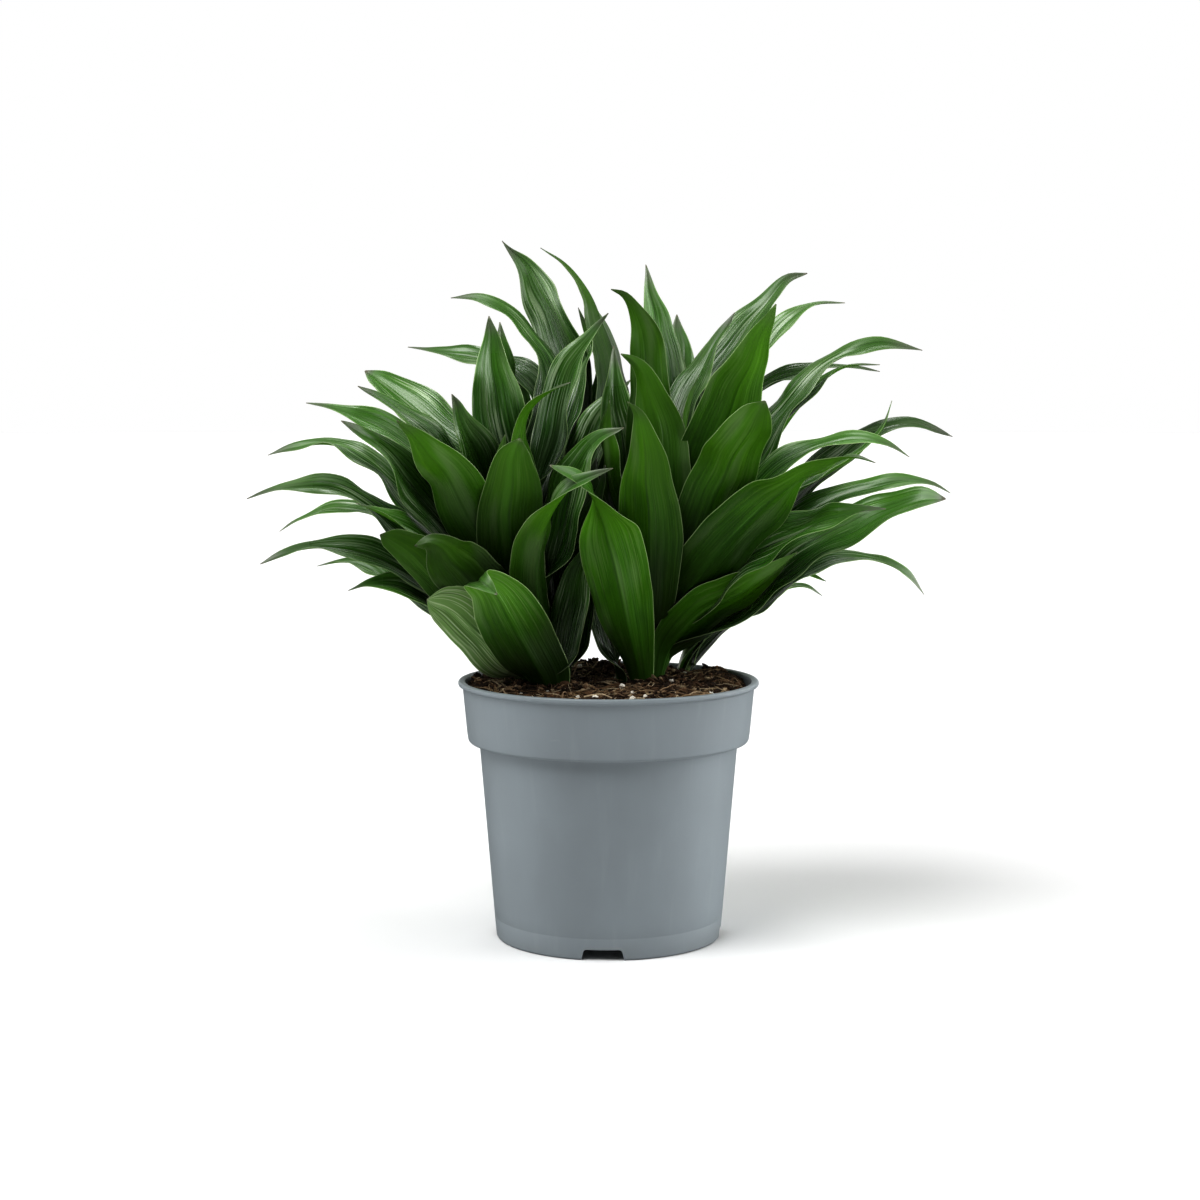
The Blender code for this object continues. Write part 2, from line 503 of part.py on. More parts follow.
def cut(ob, tool):
    m = ob.modifiers.new("cut_" + tool.name, "BOOLEAN")
    m.operation = "DIFFERENCE"
    m.object = tool


def prism(outline, z0, z1):
    n = len(outline)
    V = [(x, y, z0) for x, y in outline] + [(x, y, z1) for x, y in outline]
    F = [list(range(n))[::-1], list(range(n, 2 * n))]
    F += [(k, (k + 1) % n, n + (k + 1) % n, n + k) for k in range(n)]
    return V, F


def make_pot(parent):
    V, F = turned(pot_profile(), POT_SEG)
    pot = add("pot", V, F, material("pot_plastic", (0.19, 0.225, 0.25), 0.5), parent, 30)
    for k in range(4):
        # notch in the foot: wider at the floor than at its top
        a = math.radians(90 * k + NOTCH_TURN)
        c, s = math.cos(a), math.sin(a)
        V = []
        for yy in (-BODY_R_LOW - 4.0, -BODY_R_LOW + FOOT_WALL + 2.5):
            for xx, zz in ((-NOTCH_W / 2 - 1.6, -1.0), (NOTCH_W / 2 + 1.6, -1.0),
                           (NOTCH_W / 2, NOTCH_H), (-NOTCH_W / 2, NOTCH_H)):
                V.append((xx * c - yy * s, xx * s + yy * c, zz))
        F = [(0, 1, 2, 3), (7, 6, 5, 4)] + [(k2, k2 + 4, (k2 + 1) % 4 + 4, (k2 + 1) % 4) for k2 in range(4)]
        cut(pot, cutter("notch_tool_%d" % k, V, F, parent))
    for k in range(DRAINS):
        a = 2 * math.pi * (k + 0.5) / DRAINS
        ring = [(DRAIN_RING_R * math.cos(a) + DRAIN_R * math.cos(q), DRAIN_RING_R * math.sin(a) + DRAIN_R * math.sin(q))
                for q in (2 * math.pi * j / 12 for j in range(12))]
        V, F = prism(ring, FLOOR_Z0 - 1.0, FLOOR_Z1 + 1.0)
        cut(pot, cutter("drain_tool_%d" % k, V, F, parent))
    return pot


def soil_top(x, y):
    """Height of the soil: a little heaped, lower towards the right and rear wall."""
    r = math.hypot(x, y)
    z = Z_SOIL - 0.9 + 0.35 * math.sin(0.23 * x + 1.0) * math.cos(0.19 * y) + 0.25 * math.sin(0.41 * y + 0.3 * x)
    z -= 1.4 * float(smooth((r - 34.0) / 22.0))
    z -= 1.3 * float(smooth((0.7 * x + 0.7 * y - 10.0) / 40.0))
    return z


def make_soil(parent):
    seg, rings = 48, (9.0, 18.0, 27.0, 36.0, 45.0, 51.0)
    V, F = [], []
    top_r = lambda z: inner_r(z) - SOIL_GAP
    side = [(top_r(FLOOR_Z1 + 1.6) - 1.2, FLOOR_Z1 + SOIL_GAP), (top_r(FLOOR_Z1 + 3.0), FLOOR_Z1 + 3.0),
            (top_r(45.0), 45.0), (top_r(COLLAR_Z - 0.6) - 0.2, COLLAR_Z - 0.6),
            (top_r(COLLAR_Z - 0.6) + 0.2, COLLAR_Z + 1.5),
            (COLLAR_R_LOW - WALL - 1.4, COLLAR_Z + 2.4), (top_r(COLLAR_Z + 4.0), COLLAR_Z + 4.0)]
    rows = []
    V.append((0.0, 0.0, FLOOR_Z1 + SOIL_GAP))
    rows.append([0] * seg)
    for r, z in side:
        rows.append(list(range(len(V), len(V) + seg)))
        for k in range(seg):
            a = 2 * math.pi * k / seg
            V.append((r * math.sin(a), -r * math.cos(a), z))
    for r in (None,) + rings[::-1]:
        rows.append(list(range(len(V), len(V) + seg)))
        for k in range(seg):
            a = 2 * math.pi * k / seg
            rr = r if r else inner_r(96.5) - SOIL_GAP - 0.05
            x, y = rr * math.sin(a), -rr * math.cos(a)
            V.append((x, y, soil_top(x, y)))
    rows.append([len(V)] * seg)
    V.append((0.0, 0.0, soil_top(0.0, 0.0)))
    for a, b in zip(rows, rows[1:]):
        for k in range(seg):
            q = [a[k], a[(k + 1) % seg], b[(k + 1) % seg], b[k]]
            q = [v for i, v in enumerate(q) if v not in q[:i]]
            if len(q) == 4:
                F += [(q[0], q[1], q[2]), (q[0], q[2], q[3])]
            elif len(q) == 3:
                F.append(tuple(q))
    soil = add("potting_soil", V, F, material("potting_soil", (0.045, 0.026, 0.014), 0.95), parent)
    for key in STEMS:
        # socket that the cane stands in
        V, F = tube(key, extra=SOCKET_GAP, foot=STEM_FOOT_Z - SOCKET_GAP)
        cut(soil, cutter("socket_tool_" + key, V, F, parent))
    return soil


NAMES = {"a": "leaf_left_", "b": "leaf_right_", "c": "leaf_rear_"}


def node_name(leaf):
    return NAMES[leaf[0][0]] + leaf[0][1:]


def main():
    clear_scene()
    root = bpy.data.objects.new("plant_frame", None)
    bpy.context.scene.collection.objects.link(root)
    make_pot(root)
    make_soil(root)
    green = material("stem_green", (0.16, 0.26, 0.06), 0.6)
    for key in STEMS:
        V, F = tube(key)
        add(STEMS[key]["node"], V, F, green, root, 40)
    leaf_green = material("leaf_green", (0.035, 0.12, 0.02), 0.35)
    shift, left = settle(LEAVES)
    for i, lf in enumerate(LEAVES):
        V, F = blade(lf, shift[i], LEAF_SLIM, LEAF_T)
        add(node_name(lf), V, F, leaf_green, root)
    # the frame's origin is the middle of the object's box, at the floor
    bpy.context.view_layer.update()
    xs, ys = [], []
    for ob in bpy.context.scene.objects:
        if ob.type == "MESH" and not ob.hide_render:
            for v in ob.data.vertices:
                xs.append(v.co.x)
                ys.append(v.co.y)
    root.location = (-0.5 * (min(xs) + max(xs)), -0.5 * (min(ys) + max(ys)), 0.0)
    bpy.context.view_layer.update()
    return shift, left


LAST = main()[:2]
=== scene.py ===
"""Looks of a potted dracaena in its nursery pot.

Lengths are in millimetres in the plant's own frame (pot axis at x = y = 0, floor at
z = 0, +Z up, front at -Y) and are turned into metres in the shared frame when a
mesh is made.  Leaves are laid out on a front sketch: u to the right, v down, one
unit about 0.4 mm at the pot's axis.
"""
import math

import bpy
import numpy as np
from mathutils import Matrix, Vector
from mathutils.bvhtree import BVHTree


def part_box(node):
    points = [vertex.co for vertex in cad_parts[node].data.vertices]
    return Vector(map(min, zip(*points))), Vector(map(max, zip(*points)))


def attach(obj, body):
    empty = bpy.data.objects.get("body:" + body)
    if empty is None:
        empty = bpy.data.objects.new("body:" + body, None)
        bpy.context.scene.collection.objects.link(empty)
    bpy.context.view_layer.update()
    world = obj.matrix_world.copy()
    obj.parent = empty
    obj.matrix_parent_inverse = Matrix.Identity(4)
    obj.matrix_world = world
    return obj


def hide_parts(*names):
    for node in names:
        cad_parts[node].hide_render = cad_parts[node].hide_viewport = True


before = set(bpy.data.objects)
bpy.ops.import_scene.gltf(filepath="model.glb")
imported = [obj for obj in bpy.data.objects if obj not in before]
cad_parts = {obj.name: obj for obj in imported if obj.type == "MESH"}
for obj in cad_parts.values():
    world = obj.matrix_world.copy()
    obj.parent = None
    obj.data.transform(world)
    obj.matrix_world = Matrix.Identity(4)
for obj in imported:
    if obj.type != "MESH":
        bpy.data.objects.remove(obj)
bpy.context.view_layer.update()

MM = 0.001

pot_lo, pot_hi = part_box("pot")
OX = 0.5 * (pot_lo[0] + pot_hi[0])      # pot axis in the shared frame, metres
OY = 0.5 * (pot_lo[1] + pot_hi[1])

# ---------------------------------------------------------------- pot, mm
RIM_R = 60.0
LIP_H = 2.2
COLLAR_R_TOP, COLLAR_R_LOW = 58.3, 56.2
COLLAR_Z = 79.0
POT_H = 103.5
BODY_R_TOP, BODY_R_LOW = 51.7, 45.3
WALL = 1.25
FLOOR_Z0, FLOOR_Z1 = 4.9, 6.2
FOOT_WALL = 2.4
NOTCH_W, NOTCH_H = 14.0, 4.3
NOTCH_TURN = -3.0
DRAIN_R, DRAIN_RING_R, DRAINS = 3.6, 31.0, 8

Z_SOIL = 100.0
LEAF_N = 15             # stations of the coarse blades used to part the leaves

# viewing geometry of the front sketch
EYE_X, EYE_D, EYE_Z = -3.4, 900.0, 222.1
PITCH, FOC = 0.0962, 2267.0
CP, SP = math.cos(PITCH), math.sin(PITCH)

STEMS = {
    "A": dict(node="stem_left", p=[(-26.5, 9.0, 96.0), (-28.0, 8.5, 135.0), (-31.0, 8.5, 166.0)], r=(4.8, 2.0)),
    "B": dict(node="stem_right", p=[(15.0, 21.0, 96.0), (18.5, 18.0, 135.0), (22.0, 16.0, 166.0)], r=(4.8, 2.0)),
    "C": dict(node="stem_rear", p=[(31.0, 37.0, 96.0), (34.0, 38.0, 115.0), (38.0, 40.0, 135.0)], r=(3.6, 2.0)),
}


def L(name, stem, h, az, W, pts, **opt):
    """One leaf: stem, height of its foot above the soil, compass of its foot
    (0 front, 90 right), width, and the points its midrib passes."""
    return (name, stem, h, az, W, pts, opt)


# The leaves that have a solid in the CAD model
# gain makes a whole leaf lighter or darker, a painted light and shade for how much light it gets in the crown; lift
# moves the painted shade at its foot
LEAVES = [
    # left crown, from the soil up
    L("a01", "A", 3, 2, 28, [(533,662,-15),(517,634,-25),(503,608,-34),(491,592,-39),(481,583,-42),(480,582,-46),(487,587,-49),(497,595,-50)], kind="flap", foot=(549,693,-5), lift=-0.04, gain=1.3, pin=True, roll=0, turn=[(0.3,172),(0.7,168),(1,168)], fold_at=0.72),
    L("a02", "A", 5, -50, 27, [(509,664,-9),(485,638,-17),(463,617,-23),(444,605,-28),(427,599,-31)], kind="blunt", foot=(537,691,-2), lift=0.36, gain=1.7, pin=True, roll=0, turn=[(0.3,160),(1,150)]),
    L("a03", "A", 7, -75, 20, [(490,660),(456,628),(425,603),(400,588),(372,583),(348,590)], reach=-10, foot=(522,686,6), pin=True, turn=62),
    L("a04", "A", 8, -95, 20, [(492,650),(450,608),(405,572),(365,555),(318,548),(282,554),(260,564)], reach=-12, foot=(524,682,10), pin=True, turn=60),
    L("a05", "A", 3, -115, 17, [(484,650),(443,620),(405,592),(375,572),(345,563),(317,566)], reach=62, foot=(520,680,16), pin=True, turn=66),
    L("a06", "A", 15, -58, 24, [(475,615),(438,580),(410,553),(393,539),(380,534)], reach=-44, kind="blunt", turn=140, gain=0.5),
    L("a07", "A", 10, -30, 26, [(495,615),(470,585),(453,563),(440,549),(428,543),(414,546)], reach=-72, turn=165, gain=0.42),
    L("a08", "A", 18, -108, 14, [(478,600),(430,555),(395,528),(365,512),(335,508),(304,518),(280,532)], reach=60, turn=62),
    L("a09", "A", 24, -82, 22, [(475,580),(430,550),(388,522),(350,495),(318,486),(285,488),(247,500)], reach=-24, kind="long", turn=60),
    L("a11", "A", 29, -100, 22, [(478,560),(430,518),(392,485),(362,458),(330,444),(298,446),(268,456)], reach=38, kind="long", turn=[(0.4,45),(0.7,64),(1,66)]),
    L("a12", "A", 34, -72, 26, [(475,545),(432,498),(395,460),(362,435),(341,421)], reach=-36, turn=52),
    L("a13", "A", 39, -92, 22, [(478,520),(440,478),(402,440),(365,418),(335,410),(306,404)], reach=10, turn=58),
    L("a14", "A", 44, -68, 22, [(480,508),(445,462),(412,425),(385,402),(358,386)], reach=-32, turn=60),
    L("a15", "A", 49, -108, 26, [(485,490),(450,445),(415,408),(388,386),(365,371)], reach=48, kind="blunt", roll=3, sway=0.3, turn=44),
    L("a16", "A", 24, -46, 26, [(490,570),(470,530),(448,482),(425,447),(397,421)], reach=-60, turn=155, gain=0.8),
    L("a17", "A", 20, -12, 27, [(518,595,-11),(512,550,-23),(511,500,-33),(514,462,-39),(520,438,-42)], kind="blunt", turn=178, gain=0.85, lift=-0.20, roll=3),
    L("a19", "A", 36, -5, 20, [(525,550,-6),(528,500,-14),(526,455,-19),(530,418,-21),(547,396,-23),(570,382,-25)], turn=[(0.5,140),(0.75,120),(1,60)], gain=0.8),
    L("a20", "A", 52, -45, 24, [(497,500),(478,462),(462,425),(451,394)], reach=-30, turn=40),
    L("a21", "A", 60, -140, 23, [(515,500,12),(503,460,14),(498,420,15),(494,380,16),(489,316,18)], gain=1.0, turn=8),
    L("a23", "A", 56, -165, 22, [(535,440),(540,400),(522,375),(485,362),(445,352),(408,347)], reach=66, turn=62),
    L("a24", "A", 64, 175, 22, [(556,440),(560,405),(549,370),(530,340),(508,314),(482,300),(451,299)], reach=48, kind="long", turn=[(0.4,40),(0.6,80),(0.75,60),(1,60)]),
    L("a25", "A", 59, 150, 23, [(562,440),(566,392),(560,350),(547,308),(529,270),(502,241)], reach=64, kind="high", gain=0.9, turn=36),
    L("a26", "A", 52, 120, 22, [(588,462),(606,425),(616,388),(613,352),(600,318),(585,288),(565,262),(541,247)], reach=56, gain=0.5, turn=[(0.35,150),(0.6,125),(0.8,105),(1,85)]),
    L("a28", "A", 62, 75, 24, [(551,480,5),(558,440,1),(566,400,-1),(583,352,-2),(608,313,-3)], fold=(30,34,38), turn=50),
    L("a31", "A", 11, 28, 22, [(548,645,0),(538,605,-13),(536,568,-25),(548,526,-34),(564,496,-38),(587,478,-40),(613,468,-40)], foot=(556,686,7), fold=(30,36,30), gain=0.8, lift=-0.05, pin=True, roll=4, turn=[(0.3,150),(0.6,140),(0.78,95),(0.88,48),(1,38)]),
    L("a32", "A", 30, 45, 20, [(560,545,-4),(566,508,-9),(574,478,-12),(588,452,-15),(604,437,-17),(624,428,-19)], turn=38),
    L("a33", "A", 44, 85, 22, [(560,510),(575,470),(592,430),(612,402),(631,380)], reach=12, turn=40),
    L("a34", "A", 8, 80, 17, [(563,655,-3),(568,625,-5),(575,597,-6),(582,570,-6),(588,545,-5)], foot=(560,689,0), kind="broad", fold=(22,16,20), pin=True, roll=0, lift=0.05, gain=0.8, turn=28),
    L("a35", "A", 3, 115, 14, [(574,655,4),(580,625,2),(586,595,1),(591,565,0),(594,535,-1)], foot=(568,685,8), kind="broad", pin=True, roll=0, gain=0.7, turn=30),
    # right crown
    L("b01", "B", 4, -15, 27, [(634,655,2),(626,620,-7),(619,585,-15),(611,550,-22),(601,520,-28),(590,494,-32),(573,476,-36),(550,465,-40)], foot=(640,682,8), lift=0.32, gain=1.25, pin=True, roll=3, turn=[(0.3,175),(0.62,168),(0.80,100),(0.90,45),(1,35)]),
    L("b02", "B", 14, 2, 26, [(650,615,1),(650,560,-12),(648,500,-22),(644,450,-27),(639,415,-29),(627,402,-30)], turn=[(0.3,172),(0.9,170),(1,120)], gain=0.75),
    L("b03", "B", 36, 5, 24, [(656,550,1),(660,490,-6),(658,430,-9),(646,382,-10),(634,362,-11),(621,354,-12)], turn=165, gain=0.85),
    L("b04", "B", 52, -20, 22, [(656,470,3),(650,420,1),(645,360,0),(638,315,-1),(625,295,-2),(611,289,-3)], turn=145, gain=0.66),
    L("b05", "B", 62, -170, 22, [(662,455),(662,400),(658,340),(650,295),(645,265)], reach=50, turn=40),
    L("b06", "B", 57, 160, 24, [(672,455),(678,400),(680,350),(677,315)], reach=62, turn=15),
    L("b07", "B", 50, 128, 24, [(680,465),(703,400),(735,345),(765,305),(788,280),(807,274)], reach=70, turn=40),
    L("b09", "B", 40, 54, 27, [(676,545),(700,480),(728,415),(755,350),(776,304)], reach=-34, turn=160, gain=1.0),
    L("b10", "B", 29, 44, 26, [(672,590),(695,540),(722,480),(748,430),(765,401)], reach=-50, kind="blunt", turn=165, gain=0.95),
    L("b11", "B", 17, 40, 26, [(672,625),(705,585),(745,530),(785,490),(820,468),(850,458),(875,464)], reach=-64, kind="long", turn=[(0.3,165),(0.6,160),(0.75,120),(1,80)], gain=0.85),
    L("b12", "B", 24, 80, 22, [(690,560),(740,502),(785,465),(825,445),(860,438),(885,445),(909,458)], reach=-14, kind="long", turn=64),
    L("b13", "B", 21, 102, 26, [(690,580),(750,535),(805,485),(850,450),(885,430),(920,426),(953,436)], reach=48, kind="long", turn=58, gain=0.52),
    L("b15", "B", 13, 86, 22, [(700,602),(760,550),(815,512),(860,491),(905,482),(930,484),(950,494)], reach=10, kind="long", turn=60),
    L("b16", "B", 6, 84, 27, [(690,637),(745,595),(810,553),(870,522),(915,503),(946,500)], reach=-32, kind="blunt", turn=56, gain=0.9),
    L("b17", "B", 9, 62, 25, [(690,630),(740,577),(790,538),(840,516),(886,510)], reach=-54, turn=58),
    L("b20", "B", 42, 112, 20, [(684,480),(722,410),(762,355),(790,320),(817,305),(845,302)], reach=52, turn=62),
    L("b21", "B", 31, 104, 26, [(690,515),(745,455),(792,405),(830,365),(860,349),(890,345),(922,351)], reach=34, kind="long", gain=0.8, turn=[(0.3,35),(0.5,42),(0.64,74),(0.72,72),(0.86,50),(1,60)]),
    L("b25", "B", 3, 32, 24, [(668,650),(684,632),(706,612),(735,596),(765,577),(798,553)], reach=-20, foot=(659,684,14), lift=0.25, pin=True, roll=3, turn=[(0.2,150),(0.6,135),(1,120)]),
    L("b27", "B", 8, -65, 13, [(613,658,9),(606,632,7),(600,606,6),(595,580,5),(591,550,4)], foot=(619,681,11), kind="broad", fold=(22,16,20), pin=True, roll=0, gain=0.8, turn=30),
    # third stem, at the rear right
    L("c01", "C", 8, 100, 18, [(698,645),(714,624),(752,595),(799,564),(838,554),(875,560),(903,572),(924,595)], reach=76, foot=(684,672,37), kind="long", turn=[(0.1,40),(0.4,66),(1,66)]),
    L("c03", "C", 14, 50, 18, [(700,640),(722,616),(754,592),(788,568)], reach=42, foot=(683,668,36), turn=60),
    # leaves at the back
    L("a41", "A", 10, 178, 24, [(-28,38,128),(-29,60,146),(-31,82,156),(-33,100,155)], raw=True),
    L("a42", "A", 28, -145, 24, [(-48,38,152),(-60,58,172),(-72,78,184),(-82,94,184)], raw=True),
    L("b41", "B", 10, 150, 24, [(24,48,128),(30,68,146),(36,88,155),(41,104,153)], raw=True),
    L("b42", "B", 28, -170, 24, [(14,46,154),(8,66,176),(2,84,188),(-3,98,190)], raw=True),
    L("c04", "C", 18, 150, 20, [(44,56,136),(54,72,152),(65,86,160),(76,98,158)], raw=True),
]


# Smaller leaves among them
EXTRA = [
    L("a10", "A", 20, -64, 20, [(478,585),(445,550),(415,528),(385,516),(355,504)], reach=-40, turn=72),
    L("a18", "A", 30, -30, 18, [(505,550,-8),(498,500,-16),(498,460,-20),(504,433,-22)], turn=150),
    L("a22", "A", 60, 175, 18, [(518,465,22),(512,400,27),(507,350,29),(501,322,30)], turn=30),
    L("a27", "A", 62, 140, 16, [(558,445,26),(585,380,36),(592,340,40),(578,308,42)], turn=60),
    L("a29", "A", 50, 150, 20, [(565,465,27),(583,420,34),(592,370,38),(590,345,40)], turn=30),
    L("a30", "A", 48, 175, 22, [(530,475,26),(530,430,32),(530,395,34),(522,375,35)], turn=20),
    L("b08", "B", 54, 138, 20, [(672,465,25),(690,400,33),(712,350,38),(735,313,42)], turn=50),
    L("b14", "B", 26, 92, 16, [(695,560),(770,510),(830,472),(868,445),(885,425),(893,401)], reach=22, turn=80),
    L("b22", "B", 38, 116, 16, [(700,515),(760,450),(810,395),(845,368),(880,364)], reach=44, turn=72),
    L("b23", "B", 46, 124, 16, [(690,480),(735,420),(776,384),(813,371),(850,368),(880,371)], reach=58, gain=0.8, turn=66),
    L("b28", "B", 30, -40, 22, [(640,550,4),(620,505,0),(610,465,-2),(606,430,-3),(610,400,-4)], gain=0.6, turn=120),
    L("b29", "B", 44, 60, 20, [(672,495,6),(682,450,5),(690,410,5),(700,375,5)], gain=0.55, turn=90),
    L("c02", "C", 5, 125, 14, [(712,624),(748,600),(782,588),(805,588),(822,596)], reach=84, foot=(686,673,40), turn=70),
    L("x01", "A", 16, 60, 18, [(566,610,-1),(578,570,-4),(590,530,-5),(600,495,-6),(606,465,-6)], gain=0.6, turn=50),
    L("x02", "B", 40, -60, 20, [(642,520,9),(628,470,9),(618,420,10),(613,380,11),(614,346,12)], turn=28),
    L("x03", "A", 22, 75, 20, [(570,590,2),(580,555,2),(588,520,2),(593,488,3),(597,458,4)], gain=0.55, pin=True, turn=25),
]


def arch(name, stem, h, az, W, length, rise, droop, swing=0.0):
    """A leaf at the back: leaves its stem at an angle above the horizon and bends
    down evenly along its length."""
    x, y, r = stem_at(stem, Z_SOIL + h)
    pts = []
    p = np.array([x, y, Z_SOIL + h + 8.0])
    for k in range(1, 6):
        t = (k - 0.5) / 5.0
        e = math.radians(rise - droop * t)
        a = math.radians(az + swing * t)
        p = p + length / 5.0 * np.array([math.sin(a) * math.cos(e), -math.cos(a) * math.cos(e), math.sin(e)])
        if k > 1 or length > 90:
            pts.append(tuple(float(c) for c in p))
    return L(name, stem, h, az, W, pts, raw=True)


def place(u, v, y):
    a, b = (u - 600.0) / FOC, (600.0 - v) / FOC
    d = np.array([a, CP + b * SP, -SP + b * CP])
    return np.array([EYE_X, -EYE_D, EYE_Z]) + (y + EYE_D) / d[1] * d


def sketch_of(p):
    x, y, z = p[0] - EYE_X, p[1] + EYE_D, p[2] - EYE_Z
    f = y * CP - z * SP
    return 600.0 + FOC * x / f, 600.0 - FOC * (y * SP + z * CP) / f


def smooth(t):
    t = np.clip(t, 0.0, 1.0)
    return t * t * (3.0 - 2.0 * t)


def stem_at(name, z):
    s = STEMS[name]
    p = np.array(s["p"], float)
    x = np.interp(z, p[:, 2], p[:, 0])
    y = np.interp(z, p[:, 2], p[:, 1])
    r = np.interp(z, [p[0, 2], p[-1, 2]], s["r"])
    return x, y, r


def spline(pts, n):
    """Centripetal Catmull-Rom curve through pts, read at n evenly spaced stations."""
    P = np.asarray(pts, float)
    Q = np.vstack([2 * P[0] - P[1], P, 2 * P[-1] - P[-2]])
    out = []
    for i in range(1, len(Q) - 2):
        p0, p1, p2, p3 = Q[i - 1:i + 3]
        t0 = 0.0
        t1 = t0 + max(np.linalg.norm(p1 - p0), 1e-6) ** 0.5
        t2 = t1 + max(np.linalg.norm(p2 - p1), 1e-6) ** 0.5
        t3 = t2 + max(np.linalg.norm(p3 - p2), 1e-6) ** 0.5
        t = np.linspace(t1, t2, 24, endpoint=False)[:, None]
        a1 = (t1 - t) / (t1 - t0) * p0 + (t - t0) / (t1 - t0) * p1
        a2 = (t2 - t) / (t2 - t1) * p1 + (t - t1) / (t2 - t1) * p2
        a3 = (t3 - t) / (t3 - t2) * p2 + (t - t2) / (t3 - t2) * p3
        b1 = (t2 - t) / (t2 - t0) * a1 + (t - t0) / (t2 - t0) * a2
        b2 = (t3 - t) / (t3 - t1) * a2 + (t - t1) / (t3 - t1) * a3
        out.append((t2 - t) / (t2 - t1) * b1 + (t - t1) / (t2 - t1) * b2)
    out = np.vstack(out + [P[-1:]])
    for _ in range(10):
        out[1:-1] = 0.25 * out[:-2] + 0.5 * out[1:-1] + 0.25 * out[2:]
    run = np.concatenate([[0.0], np.cumsum(np.linalg.norm(np.diff(out, axis=0), axis=1))])
    s = np.linspace(0.0, run[-1], n)
    return np.stack([np.interp(s, run, out[:, k]) for k in range(3)], 1), run[-1]


PROF_S = np.array([0.0, 0.06, 0.15, 0.28, 0.42, 0.55, 0.68, 0.80, 0.89, 0.95, 1.0])
PROF_W = {
    "": np.array([0.40, 0.46, 0.60, 0.82, 0.97, 1.0, 0.90, 0.64, 0.36, 0.18, 0.02]),
    "blunt": np.array([0.40, 0.46, 0.60, 0.82, 0.97, 1.0, 0.97, 0.86, 0.66, 0.42, 0.03]),
    "long": np.array([0.40, 0.48, 0.66, 0.90, 1.0, 0.94, 0.76, 0.53, 0.33, 0.18, 0.02]),
    "high": np.array([0.36, 0.38, 0.44, 0.58, 0.78, 0.95, 1.0, 0.78, 0.40, 0.17, 0.015]),
    "flap": np.array([0.52, 0.62, 0.80, 0.95, 1.0, 0.96, 0.84, 0.60, 0.36, 0.20, 0.02]),
    "broad": np.array([0.52, 0.60, 0.76, 0.92, 1.0, 1.0, 0.92, 0.72, 0.50, 0.30, 0.03]),
}


def width_at(s, kind):
    """Half-width profile along a blade, 1 at its widest."""
    w = PROF_W[kind]
    i = np.clip(np.searchsorted(PROF_S, s) - 1, 0, len(PROF_S) - 2)
    m = np.gradient(w, PROF_S)
    h = PROF_S[i + 1] - PROF_S[i]
    t = (s - PROF_S[i]) / h
    h00 = 2 * t ** 3 - 3 * t ** 2 + 1
    h10 = t ** 3 - 2 * t ** 2 + t
    h01 = -2 * t ** 3 + 3 * t ** 2
    h11 = t ** 3 - t ** 2
    return np.maximum(h00 * w[i] + h10 * h * m[i] + h01 * w[i + 1] + h11 * h * m[i + 1], 0.01)


FOOT_READ = 34.0


